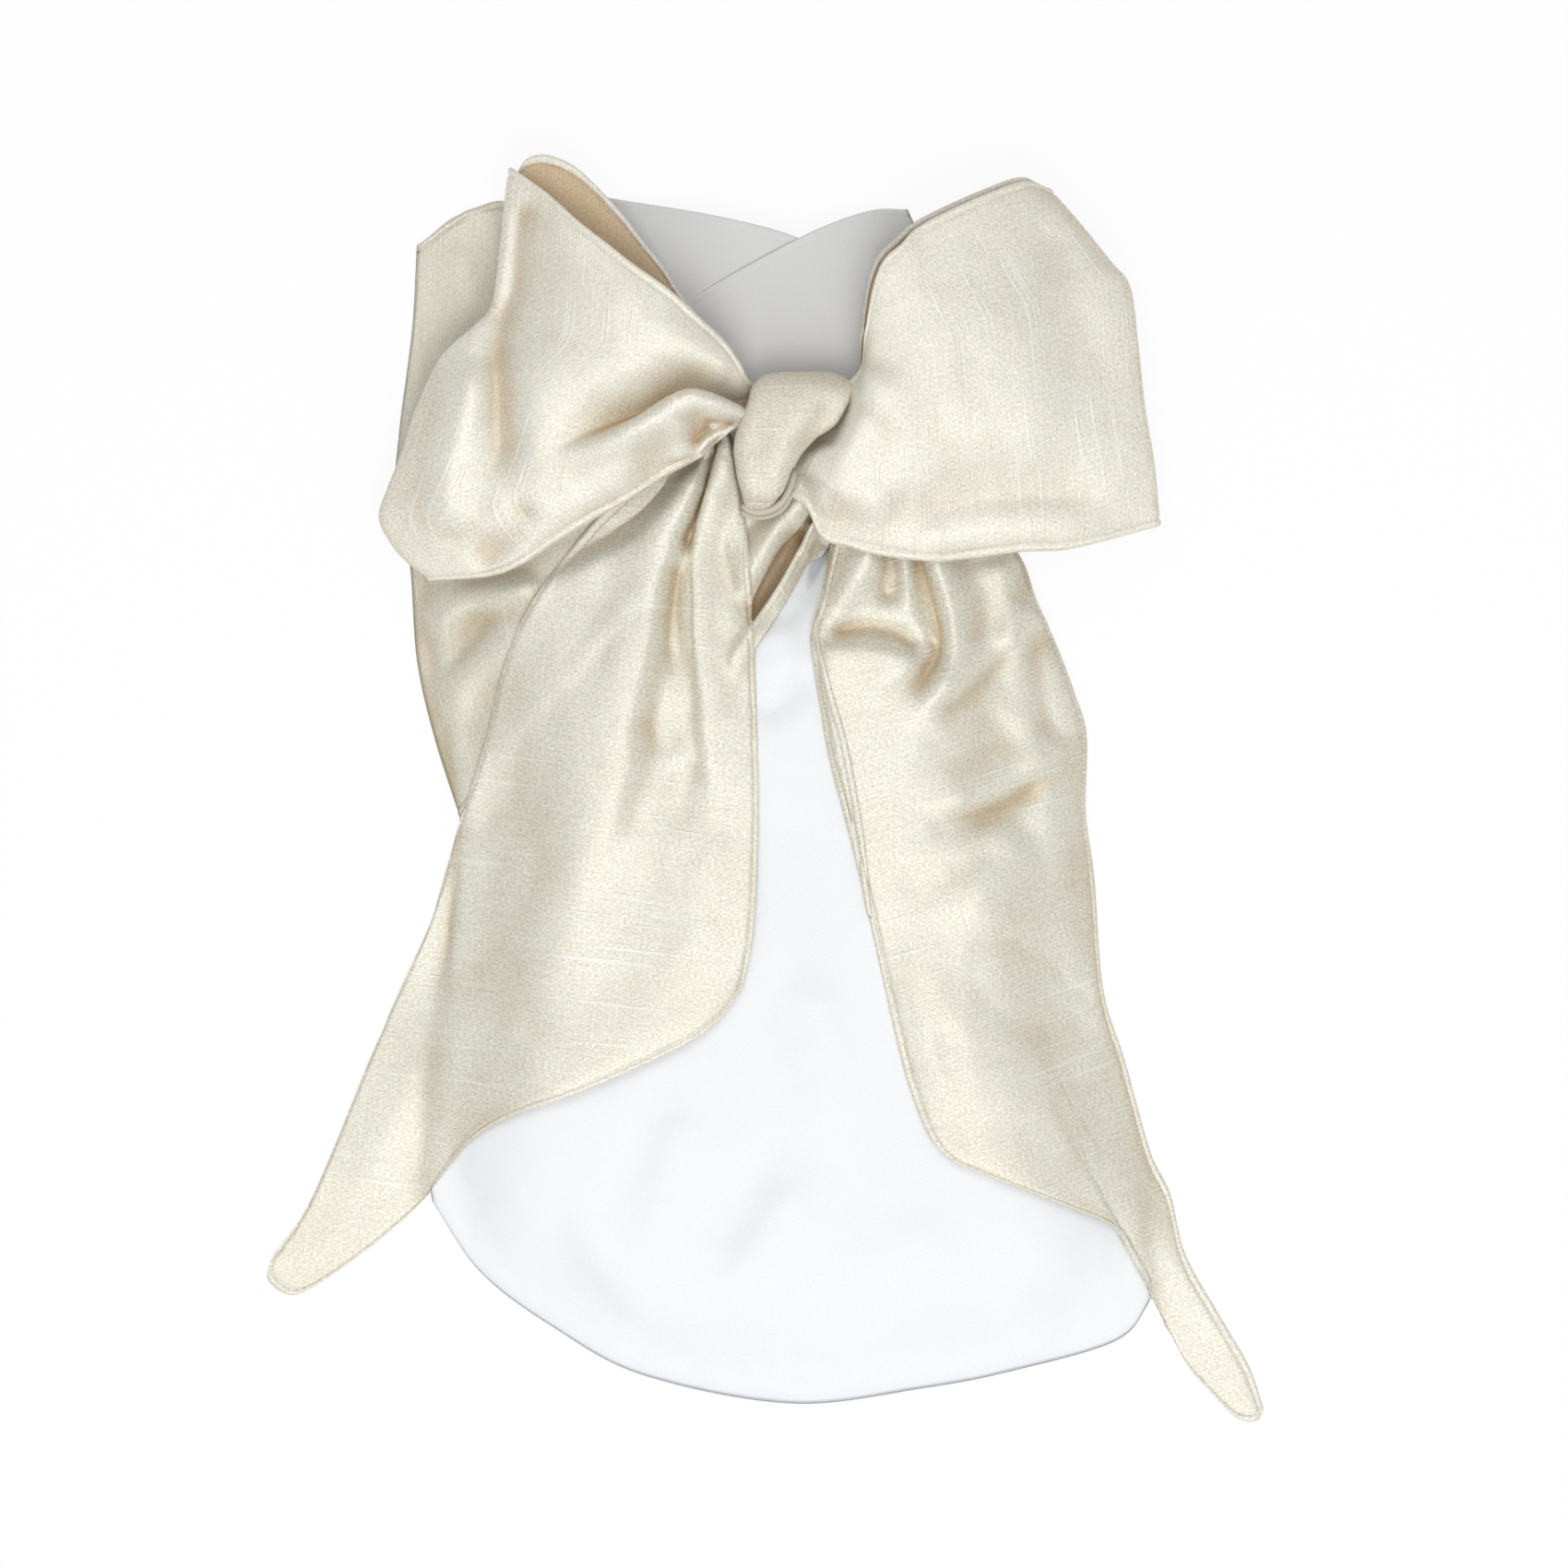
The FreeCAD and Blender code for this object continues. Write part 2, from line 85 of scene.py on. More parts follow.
HEM = 2.8            # width of a sewn edge, to the middle of its stitched groove
# Painted shade: how deep a fold must be to get the full painted shade in its colour.
FOLD_DEPTH = 2.6     # a fold this deep counts as a full hollow
SINK = 0.45          # from the top of a CAD panel down to the middle of its cloth
ABOVE = 0.3          # in m, higher than anything on the table
EDGE_ROWS = np.array([0, 0.25, 0.6, 1.0, 1.5, 2.0, 2.5, 2.9, 3.2, 3.5, 3.9, 4.6, 5.8])


def rows(length, spacing=2.0, first=True, last=True):
    """Shares of a length, evenly spaced, with extra rows beside each sewn end."""
    inner = np.linspace(0, 1, max(4, int(length / spacing)))
    parts = [inner[(inner * length > 7.0 * first) & ((1 - inner) * length > 7.0 * last)]]
    parts.append(EDGE_ROWS / length if first else np.array([0.0]))
    parts.append(1 - EDGE_ROWS / length if last else np.array([1.0]))
    return np.unique(np.concatenate(parts).round(6))


def fill(near, far, left, right, us, vs):
    """Coons grid: near and far run along u, left and right along v."""
    n, f, l, r = smooth_line(near, us), smooth_line(far, us), smooth_line(left, vs), smooth_line(right, vs)
    u, v = us[:, None, None], vs[None, :, None]
    grid = n[:, None] * (1 - v) + f[:, None] * v + l[None] * (1 - u) + r[None] * u
    return grid - (n[0] * (1 - u) + n[-1] * u) * (1 - v) - (f[0] * (1 - u) + f[-1] * u) * v


def into_scene(name, data):
    obj = bpy.data.objects.new(name, data)
    bpy.context.scene.collection.objects.link(obj)
    return obj


def step(t):
    t = np.clip(t, 0, 1)
    return t * t * (3 - 2 * t)


def beside(grid, line):
    """Signed distance of each grid point from a plan line (left of travel is positive), its squared
    distance, its share along the line and the line's left normal there."""
    q = smooth_line(line, np.linspace(0, 1, 70))
    tangent = np.gradient(q, axis=0)
    tangent /= np.linalg.norm(tangent, axis=1, keepdims=True)
    gap = grid[..., :2].reshape(-1, 1, 2) - q[None]
    near = (gap ** 2).sum(2).argmin(1)
    away = gap[np.arange(len(near)), near]
    side = tangent[near, 0] * away[:, 1] - tangent[near, 1] * away[:, 0]
    shape = grid.shape[:2]
    normal = np.stack([-tangent[near, 1], tangent[near, 0]], axis=1)
    return (side.reshape(shape), (away ** 2).sum(1).reshape(shape), (near / 69.0).reshape(shape),
            normal.reshape(shape + (2,)))


def pair(value):
    """A (start, end) pair; a single number stands for both."""
    return value if isinstance(value, tuple) else (value, value)


def fade_ends(t, ends):
    start, end = pair(ends)
    return step((t + 0.02) / max(start, 1e-3)) * step((1.02 - t) / max(end, 1e-3))


def fold(grid, line, high, left, right, ends):
    """Relief of one fold along a plan line. high, left and right are a number or a (start, end)
    pair: the height of the crest or (negative) the depth of the valley, and how far it spreads each
    side. ends is the share of the line over which it fades in and out."""
    side, square, t, _ = beside(grid, line)
    high, left, right = pair(high), pair(left), pair(right)
    wide = np.where(side > 0, left[0] + (left[1] - left[0]) * t, right[0] + (right[1] - right[0]) * t)
    return (high[0] + (high[1] - high[0]) * t) * fade_ends(t, ends) * np.exp(-square / wide ** 2)


def tuck(grid, line, over, spread, ends):
    """Lets the crest left of a line hang over the valley on its right, as a pressed pleat does."""
    side, _, t, normal = beside(grid, line)
    push = over * fade_ends(t, ends) * np.tanh(side / 0.7) * np.exp(-(side / spread) ** 2)
    grid[..., :2] -= push[..., None] * normal


def folds(grid, table):
    return sum(fold(grid, *row) for row in table)


def wander(grid, seed, size, high):
    """Small uneven waves, because laid cloth is never quite smooth."""
    z = np.zeros(grid.shape[:2])
    for i in range(grid.shape[0]):
        for j in range(grid.shape[1]):
            x, y = grid[i, j, 0], grid[i, j, 1]
            z[i, j] = (noise.noise((x / size, y / size, seed))
                       + 0.3 * noise.noise((x / 8.0, y / 8.0, seed + 7.0)))
    return high * z


def calm(z, times):
    """Evens out a grid of heights."""
    for _ in range(times):
        p = np.pad(z, 1, mode="edge")
        z = 0.5 * z + 0.125 * (p[:-2, 1:-1] + p[2:, 1:-1] + p[1:-1, :-2] + p[1:-1, 2:])
    return z


def run_lengths(grid):
    """Distance of each grid point along u and along v, in mm."""
    du = np.linalg.norm(np.diff(grid, axis=0), axis=2)
    dv = np.linalg.norm(np.diff(grid, axis=1), axis=2)
    lu = np.vstack([np.zeros((1, grid.shape[1])), np.cumsum(du, axis=0)])
    lv = np.hstack([np.zeros((grid.shape[0], 1)), np.cumsum(dv, axis=1)])
    return lu, lv


# %% [markdown]
# ## Laying one layer on another
# Every finished mesh goes into a list of trees. A new layer asks them how high the pile below it
# is, is smoothed over the steps, and is kept half a millimetre clear.

# %% Ground under a new layer
laid = []


def ground(grid, trees=None):
    """Height in mm of the top of what is already laid, under each grid point."""
    z = np.zeros(grid.shape[:2])
    for tree in (laid if trees is None else trees):
        for i in range(grid.shape[0]):
            for j in range(grid.shape[1]):
                hit = tree.ray_cast((grid[i, j, 0] * MM, grid[i, j, 1] * MM, ABOVE), (0, 0, -1))
                if hit[0] is not None:
                    z[i, j] = max(z[i, j], hit[0].z / MM)
    return z


def cad_tree(node):
    """Tree of one CAD node."""
    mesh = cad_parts[node].data
    return BVHTree.FromPolygons([v.co.copy() for v in mesh.vertices],
                                [list(p.vertices) for p in mesh.polygons])


def drape(grid, relief, clear, ease):
    """Gives a plan grid its heights: the pile below, eased over its steps, plus the relief."""
    base = ground(grid)
    eased = calm(base, ease)
    z = np.maximum(eased + clear + relief, base + clear)
    z = np.maximum(calm(z, 2), base + clear)
    return np.dstack([grid[..., 0], grid[..., 1], z])


# %% [markdown]
# ## From grid to closed cloth
# The grid is the middle of the cloth. Each side is set out along the normal, the edge is rounded,
# and a sewn edge gets its bead and stitched groove. The map called weave holds the flat cloth's
# own coordinates in metres, so the yarns follow the cloth and not the room.

# %% Closed sheets
def closed_sheet(name, grid, thick, material, sewn=(0, 0, 1, 1), weft=None, inside=None, bead=0.42):
    """sewn marks the edges (u start, u end, v start, v end) that carry a bead and groove. weft is
    the plan direction of the cross yarns in degrees, or None where they follow the grid. inside is
    the material of the lower face, where it is not the same."""
    nu, nv = grid.shape[:2]
    gu, gv = np.gradient(grid, axis=0), np.gradient(grid, axis=1)
    normal = np.cross(gu, gv)
    normal /= np.linalg.norm(normal, axis=2, keepdims=True) + 1e-12
    flip = normal[..., 2].mean() < 0
    if flip:
        normal = -normal
    lu, lv = run_lengths(grid)
    away = [lu, lu[-1:] - lu, lv, lv[:, -1:] - lv]
    half = np.full((nu, nv), thick / 2)
    for d, s in zip(away, sewn):
        d = np.maximum(d, 0)
        rounding = np.sqrt(1 - (1 - np.clip(d / (thick * 0.7), 0, 1)) ** 2)
        if s:
            half += bead * (np.exp(-((d - 1.5) / 1.0) ** 2) - np.exp(-((d - 3.2) / 0.5) ** 2))
        half *= rounding
    top, low = grid + normal * half[..., None], grid - normal * half[..., None]
    border = np.zeros((nu, nv), bool)
    border[0] = border[-1] = border[:, 0] = border[:, -1] = True
    index_top = np.arange(nu * nv).reshape(nu, nv)
    index_low = np.where(border, index_top, 0)
    inner = ~border
    index_low[inner] = nu * nv + np.arange(inner.sum())
    points = np.vstack([top.reshape(-1, 3), low[inner]]) * MM

    def quads(index, turn):
        a, b, c, d = index[:-1, :-1], index[1:, :-1], index[1:, 1:], index[:-1, 1:]
        q = np.stack([a, b, c, d], axis=2).reshape(-1, 4)
        return q[:, ::-1] if turn else q
    faces = np.vstack([quads(index_top, flip), quads(index_low, not flip)])
    mesh = bpy.data.meshes.new(name)
    mesh.from_pydata(points.tolist(), [], faces.tolist())
    mesh.update()
    if weft is None:
        weave = np.dstack([np.broadcast_to(lu.mean(1)[:, None], (nu, nv)), lv])
    else:
        turn = math.radians(weft)
        x, y = grid[..., 0], grid[..., 1]
        weave = np.dstack([y * math.cos(turn) - x * math.sin(turn), x * math.cos(turn) + y * math.sin(turn)])
    flat_uv = np.vstack([weave.reshape(-1, 2), weave[inner]]) * MM
    layer = mesh.uv_layers.new(name="weave")
    corner = np.zeros(len(mesh.loops), int)
    mesh.loops.foreach_get("vertex_index", corner)
    layer.data.foreach_set("uv", flat_uv[corner].astype(np.float32).ravel())
    # Painted shade: how far each point lies below the smoothed cloth, plus a share for steep cloth, is stored
    # per point; the materials darken the colour with it, as shade in folds and as sheen falling off on
    # slopes.
    flat = np.maximum(calm(np.abs(normal[..., 2]), 6), 0.3)
    tilt = np.clip(np.sqrt(1 / flat ** 2 - 1) - 0.14, 0, 0.6)
    below = calm(grid[..., 2], 40) - grid[..., 2] - 0.25
    painted_fold_shade = np.clip(below / FOLD_DEPTH + 0.5 * tilt, 0, 2.5)
    mesh.attributes.new("painted_fold_shade", "FLOAT", "POINT").data.foreach_set(
        "value", np.concatenate([painted_fold_shade.ravel(), painted_fold_shade[inner]]).astype(np.float32))
    mesh.materials.append(material)
    # A separate material for the lower face: the loops use a darker silk copy there, painting the shade
    # inside them.
    if inside:
        mesh.materials.append(inside)
        under = (np.arange(len(faces)) >= len(faces) // 2) == (normal[nu // 8, nv // 2, 2] > 0)
        cell = lv[:-1, :-1] + 0.5 * np.diff(lv, axis=1)[:-1]
        away_from_hems = (cell > HEM) & (cell < lv[:-1, -1:] - HEM)
        under &= np.tile(away_from_hems.ravel(), 2)
        mesh.polygons.foreach_set("material_index", under.astype(np.int32))
    obj = into_scene(name, mesh)
    mesh.shade_smooth()
    laid.append(BVHTree.FromPolygons(points.tolist(), faces.tolist()))
    a, b = np.diff(grid, axis=0)[:, :-1], np.diff(grid, axis=1)[:-1]
    area = np.linalg.norm(np.cross(a, b), axis=2).sum() / 100
    print("%-20s %4d x %3d points, %.0f cm2" % (name, nu, nv, area))
    return obj


# %% [markdown]
# ## Materials
# The shade at the bottom of a fold is painted into the colour, darker, and warmer in silk, because
# the light there has met the cloth many times. Each sheet carries that depth as an attribute, and
# steep cloth adds a little to it, which paints the silk's sheen as strongest where it lies level.
# Dupioni silk: a fine weave, with uneven thicker yarns (slubs) that run across the strip as short
# pale and dark lines, and a soft broad shine. Cotton jersey: matt, with a fine knit grain.

# %% Silk and jersey
def node_kit(name):
    mat = bpy.data.materials.new(name)
    mat.use_nodes = True
    tree = mat.node_tree
    bsdf = tree.nodes["Principled BSDF"]

    def add(kind, **values):
        n = tree.nodes.new(kind)
        for key, value in values.items():
            if key in n.inputs:
                n.inputs[key].default_value = value
            else:
                setattr(n, key, value)
        return n

    def join(a, out, b, into):
        tree.links.new(a.outputs[out], b.inputs[into])
    return mat, bsdf, add, join


def yarn_noise(add, join, scale, detail, rough=0.5, bend=None):
    """Noise in the flat cloth's own map; scale is cells per metre along and across the piece."""
    uv = add("ShaderNodeUVMap", uv_map="weave")
    place = add("ShaderNodeMapping")
    place.inputs["Scale"].default_value = scale
    source, out = uv, "UV"
    if bend:
        wave = add("ShaderNodeTexNoise", Scale=bend[0], Detail=1.0)
        join(uv, "UV", wave, "Vector")
        shift = add("ShaderNodeVectorMath", operation="SCALE")
        shift.inputs["Scale"].default_value = bend[1]
        join(wave, "Color", shift, 0)
        total = add("ShaderNodeVectorMath", operation="ADD")
        join(uv, "UV", total, 0)
        join(shift, "Vector", total, 1)
        source, out = total, "Vector"
    grain = add("ShaderNodeTexNoise", Scale=1.0, Detail=detail, Roughness=rough)
    join(source, out, place, "Vector")
    join(place, "Vector", grain, "Vector")
    return grain


def ramp_of(add, stops):
    """Colour ramp with (place, grey or colour) stops."""
    ramp = add("ShaderNodeValToRGB")
    while len(ramp.color_ramp.elements) < len(stops):
        ramp.color_ramp.elements.new(0.5)
    for element, (place, tone) in zip(ramp.color_ramp.elements, stops):
        element.position = place
        element.color = tone + (1,) if isinstance(tone, tuple) else (tone, tone, tone, 1)
    return ramp


def blend_by(add, join, kind, share, first, second):
    """Mixes two colour outputs, given as (node, output name)."""
    mix = add("ShaderNodeMix", data_type="RGBA", blend_type=kind)
    mix.inputs[0].default_value = share
    join(first[0], first[1], mix, 6)
    join(second[0], second[1], mix, 7)
    return mix


def tinted(tone, tint):
    return tuple(c * t for c, t in zip(tone, tint))


def times(add, join, source, out, factor):
    """Multiplies a value output by a number."""
    node = add("ShaderNodeMath", operation="MULTIPLY")
    node.inputs[1].default_value = factor
    join(source, out, node, 0)
    return node


def finish_surface(add, join, bsdf, raised, values):
    """Chains bumps, given as (node, output name, strength, height in m), and sets the shader."""
    under = None
    for node, out, strength, height in raised:
        bump = add("ShaderNodeBump", Strength=strength, Distance=height)
        join(node, out, bump, "Height")
        if under:
            join(under, "Normal", bump, "Normal")
        under = bump
    join(under, "Normal", bsdf, "Normal")
    for socket, value in values.items():
        bsdf.inputs[socket].default_value = value


def silk(name="silk", tint=(1.0, 1.0, 1.0)):
    """Slubbed silk; tint makes lighter, darker or warmer copies, which paint light or shade onto some parts.
    """
    mat, bsdf, add, join = node_kit(name)
    grain = yarn_noise(add, join, (1100, 800, 1), 3.0, 0.7)
    yarn = yarn_noise(add, join, (900, 60, 1), 3.0, 0.6)
    slub = yarn_noise(add, join, (560, 14, 1), 1.0, 0.4, bend=(9.0, 0.004))
    cloud = yarn_noise(add, join, (18, 24, 1), 3.0)
    base = ramp_of(add, [(place, tinted(tone, tint)) for place, tone in (
        (0.35, (0.670, 0.625, 0.515)), (0.50, (0.800, 0.768, 0.675)), (0.65, (0.930, 0.908, 0.840)))])
    join(grain, "Fac", base, "Fac")
    cross = ramp_of(add, [(0.32, (0.905, 0.890, 0.855)), (0.50, (0.975, 0.970, 0.960)), (0.68, 1.0)])
    join(yarn, "Fac", cross, "Fac")
    thick = ramp_of(add, [(0.0, 0.0), (0.64, 0.0), (0.70, 1.0)])
    join(slub, "Fac", thick, "Fac")
    shade = ramp_of(add, [(0.30, (0.945, 0.935, 0.905)), (0.70, 1.0)])
    join(cloud, "Fac", shade, "Fac")
    colour = blend_by(add, join, "MULTIPLY", 0.75, (base, "Color"), (cross, "Color"))
    colour = blend_by(add, join, "MULTIPLY", 0.8, (colour, 2), (shade, "Color"))
    pale = add("ShaderNodeMix", data_type="RGBA", blend_type="MIX")
    pale.inputs[7].default_value = tinted((0.93, 0.91, 0.83), tint) + (1,)
    join(times(add, join, thick, "Color", 0.42), 0, pale, 0)
    join(colour, 2, pale, 6)
    # Painted shade: the fold-depth attribute multiplies the silk's colour towards a warm brown in folds and
    # on steep cloth.
    fold_shade_node = add("ShaderNodeAttribute", attribute_name="painted_fold_shade")
    painted_warm_shade = add("ShaderNodeMix", data_type="RGBA", blend_type="MULTIPLY")
    painted_warm_shade.inputs[7].default_value = (0.73, 0.615, 0.48, 1)
    join(times(add, join, fold_shade_node, "Fac", 0.92), 0, painted_warm_shade, 0)
    join(pale, 2, painted_warm_shade, 6)
    join(painted_warm_shade, 2, bsdf, "Base Color")
    finish_surface(add, join, bsdf, [(grain, "Fac", 0.60, 0.00034), (yarn, "Fac", 0.32, 0.0003),
                                     (thick, "Color", 0.45, 0.0003)],
                   {"Roughness": 0.54, "Metallic": 0.28, "Specular IOR Level": 0.45,
                    "Subsurface Weight": 0.22, "Subsurface Radius": (1.0, 0.5, 0.28),
                    "Subsurface Scale": 0.004})
    return mat


def jersey(name="jersey", tint=(1.0, 1.0, 1.0)):
    """Matt knit; the fold-depth attribute paints shade into its folds as grey."""
    mat, bsdf, add, join = node_kit(name)
    knit = yarn_noise(add, join, (1500, 1100, 1), 1.5)
    cloud = yarn_noise(add, join, (20, 20, 1), 3.0)
    tone = ramp_of(add, [(place, tinted(colour, tint)) for place, colour in (
        (0.25, (0.800, 0.818, 0.838)), (0.75, (0.855, 0.870, 0.886)))])
    join(knit, "Fac", tone, "Fac")
    # Painted shade: the fold-depth attribute greys the jersey's colour in its folds.
    fold_shade_node = add("ShaderNodeAttribute", attribute_name="painted_fold_shade")
    grey = ramp_of(add, [(0.0, 1.0), (0.20, (0.975, 0.982, 0.990)), (0.42, (0.925, 0.938, 0.956)),
                         (0.62, (0.60, 0.61, 0.64))])
    join(times(add, join, fold_shade_node, "Fac", 0.4), 0, grey, "Fac")
    tone = blend_by(add, join, "MULTIPLY", 1.0, (tone, "Color"), (grey, "Color"))
    join(tone, 2, bsdf, "Base Color")
    finish_surface(add, join, bsdf, [(cloud, "Fac", 0.25, 0.002), (knit, "Fac", 0.3, 0.0002)],
                   {"Roughness": 0.95, "Specular IOR Level": 0.1})
    return mat


SILK, JERSEY = silk(), jersey()
# Painted shade: a darker copy of the jersey for the mouth flaps, for the shade above the bow between the
# loops.
JERSEY_SHADED = jersey("jersey_painted_shade", (0.80, 0.785, 0.765))
# Painted shade: a darker, warmer copy of the silk for the insides of the loops and the strip in the gap under
# the knot.
SILK_SHADED = silk("silk_painted_shade", (0.76, 0.63, 0.48))
# Painted light: a lighter copy of the silk for the loops, which stand highest and catch the most light.
SILK_LIT = silk("silk_painted_light", (1.045, 1.045, 1.06))
# Painted shade: a dimmer copy of the silk for the band fronts, the knot, its plies and the bow's middle, for
# their weaker sheen and shade.
SILK_DIM = silk("silk_painted_dim", (0.93, 0.925, 0.905))

# %% [markdown]
# ## The head cover
# A soft bag of jersey. Its front takes the height of the CAD panel, with a plumper edge and a few
# soft folds. At the mouth two flaps cross in a V, the right one on top.

# %% Head cover
CAP_LEFT = [(-73, 97), (-93, 66), (-122, 22), (-140, -29), (-139, -88), (-130, -148), (-134, -208),
            (-143, -277), (-141, -300)]
CAP_RIGHT = [(47, 92), (64, 55), (78, 11), (88, -44), (100, -110), (113, -172), (124, -226), (137, -281),
             (144, -338)]
CAP_BOTTOM = [(-141, -300), (-122, -328), (-93, -350), (-57, -369), (1, -380), (53, -374), (89, -367),
              (130, -355), (144, -338)]


def on_cad(grid, node):
    """Heights of a CAD node under a plan grid, with the cells outside it taken from inside."""
    z = ground(grid, [cad_tree(node)])
    known = z > 0
    for _ in range(60):
        if known.all():
            break
        p, k = np.pad(z * known, 1), np.pad(known.astype(float), 1)
        total = p[:-2, 1:-1] + p[2:, 1:-1] + p[1:-1, :-2] + p[1:-1, 2:]
        count = k[:-2, 1:-1] + k[2:, 1:-1] + k[1:-1, :-2] + k[1:-1, 2:]
        new = (~known) & (count > 0)
        z[new] = total[new] / count[new]
        known |= new
    return calm(z, 6)


def flap(name, node, width, length, near, far, left, right, fold_row):
    """One flap of the mouth: a single layer of jersey with one sewn edge."""
    plan = fill(near, far, left, right, rows(width, 2.2, False, False), rows(length, 2.2, False, True))
    z = on_cad(plan, node) - SINK
    z += folds(plan, [fold_row])
    # The flaps take the darker jersey copy, which paints the shade on them.
    return closed_sheet(name, np.dstack([plan, z]), 0.9, JERSEY_SHADED, (0, 0, 0, 1), bead=0.16)


JERSEY_FOLDS = [
    ([(-14, -200), (0, -243), (-6, -290)], (-1.9, -1.3), (13, 17), (12, 15), (0.4, 0.45)),
    ([(2, -205), (14, -240), (12, -285)], (2.4, 1.6), (9, 14), (14, 20), (0.3, 0.4)),
    ([(-44, -246), (-58, -292), (-76, -334)], (-1.8, -1.4), (10, 12), (12, 15), (0.4, 0.45)),
    ([(-40, -258), (-50, -292), (-60, -322)], (2.4, 1.8), (9, 12), (8, 10), (0.3, 0.4)),
    ([(6, -266), (-20, -304), (-44, -340)], (-1.8, -1.5), (11, 13), (11, 13), (0.4, 0.45)),
    ([(8, -284), (-8, -310), (-26, -342)], 2.0, (12, 16), (8, 9), (0.3, 0.4)),
    ([(-8, -72), (-2, -84), (0, -94)], (2.2, 2.0), (9, 10), (9, 11), 0.3),
    ([(-16, -106), (-6, -104), (2, -97), (8, -86)], (-2.6, -2.2), 3, 7, (0.3, 0.35)),
    ([(17, -38), (11, -48), (8, -56), (3, -67), (-3, -78)], (-6.5, -5.0), 6, 6, (0.05, 0.75)),
    ([(4, -34), (-3, -46), (-12, -62), (-20, -74)], (-5, -4.5), 6, 5, (0.1, 0.3)),
    ([(-97, -280), (-88, -316), (-66, -345), (-30, -366)], (-1.8, -1.5), 7, 11, (0.35, 0.45)),
    ([(40, -300), (70, -330), (110, -345)], (2.4, 2.0), 14, 12, (0.3, 0.4)),
    ([(50, -306), (88, -332), (128, -348)], (-1.5, -1.3), 10, 12, (0.4, 0.45)),
    ([(-2, -140), (6, -180), (14, -220)], (-1.8, -1.4), (9, 12), (9, 12), (0.3, 0.4)),
    ([(26, -276), (20, -320), (12, -358)], (-1.3, -1.1), (12, 14), (12, 14), (0.4, 0.45)),
]


def cap_pieces():
    us, vs = rows(285, 3.2, False, False), rows(470, 3.2, False, False)
    top = [(-73, 95), (-30, 86), (4, 77), (28, 84), (47, 90)]
    back = fill(CAP_BOTTOM, top, [CAP_BOTTOM[0]] + CAP_LEFT[::-1][1:-1] + [top[0]],
                [CAP_BOTTOM[-1]] + CAP_RIGHT[::-1][1:-1] + [top[-1]], us, vs)
    z = on_cad(back, "cap_back_panel") - SINK
    panel = closed_sheet("jersey_back", np.dstack([back, z]), 0.9, JERSEY, (0, 0, 0, 0))
    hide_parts("cap_back_panel")

    left, right = CAP_LEFT[:3:-1] + [(-141, -50), (-137, -14)], CAP_RIGHT[:2:-1] + [(82, -14)]
    us, vs = rows(285, 2.4, False, False), rows(360, 2.4, False, False)
    front = fill(CAP_BOTTOM, [left[-1], right[-1]], left, right, us, vs)
    z = on_cad(front, "cap_front_panel") - SINK
    lu, lv = run_lengths(front)
    rim = np.minimum(np.minimum(lu, lu[-1:] - lu), lv)
    z += 2.4 * np.sqrt(1 - (1 - np.clip(rim / 11.0, 0, 1)) ** 2) - 0.6
    z += 1.5 * folds(front, JERSEY_FOLDS)
    z += wander(front, 2.2, 46, 1.3)
    bag = closed_sheet("jersey_front", np.dstack([front, z]), 0.9, JERSEY, (0, 0, 0, 0))
    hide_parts("cap_front_panel")

    flap_a = flap("flap_under", "crossover_under", 165, 125,
                  [(-140, -29), (22, -30)], [(-73, 97), (-27, 88.5), (4, 80), (26, 66)],
                  [(-140, -29), (-122, 22), (-93, 66), (-73, 97)], [(22, -30), (24, 20), (26, 66)],
                  ([(-60, 90), (-45, 60), (-40, 30)], (1.2, 1.0), (9, 14), (9, 14), (0.1, 0.4)))
    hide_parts("crossover_under")
    flap_b = flap("flap_over", "crossover_over", 180, 120, [(-92, -32), (87, -32)],
                  [(-92, 8), (-66, 33), (-40, 55), (4, 80), (31, 91), (47, 92)],
                  [(-92, -32), (-92, 8)], [(87, -32), (78, 11), (64, 55), (47, 92)],
                  ([(40, 84), (25, 62), (14, 40)], (1.4, 1.2), (9, 14), (12, 16), (0.1, 0.4)))
    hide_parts("crossover_over")
    for piece in (panel, bag, flap_a, flap_b):
        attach(piece, "wrap")
    return panel, bag, flap_a, flap_b


# %% [markdown]
# ## The band
# The sash's wide middle part lies under the cover and is turned over both sides to the front.

# %% Band
LEFT_FOLD = [(-130, -148), (-140, -117), (-147, -86), (-150, -47), (-156, -26), (-154, 5), (-149, 44),
             (-147, 78)]
RIGHT_FOLD = [(98, -125), (92, -95), (88, -60), (92, -30), (101, 10), (104, 45), (96, 80)]


def band_pieces():
    us, vs = rows(250, 3.0, False, False), rows(235, 3.0)
    back = fill([(-130, -148), (-60, -150), (20, -146), (98, -125)],
                [(-147, 78), (-124, 92), (-80, 85), (0, 70), (60, 70), (96, 80)],
                LEFT_FOLD, RIGHT_FOLD, us, vs)
    level = np.full(back.shape[:2], 0.65)
    piece = closed_sheet("band_under", np.dstack([back, level]), 1.0, SILK)
    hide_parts("band_back")
    return piece


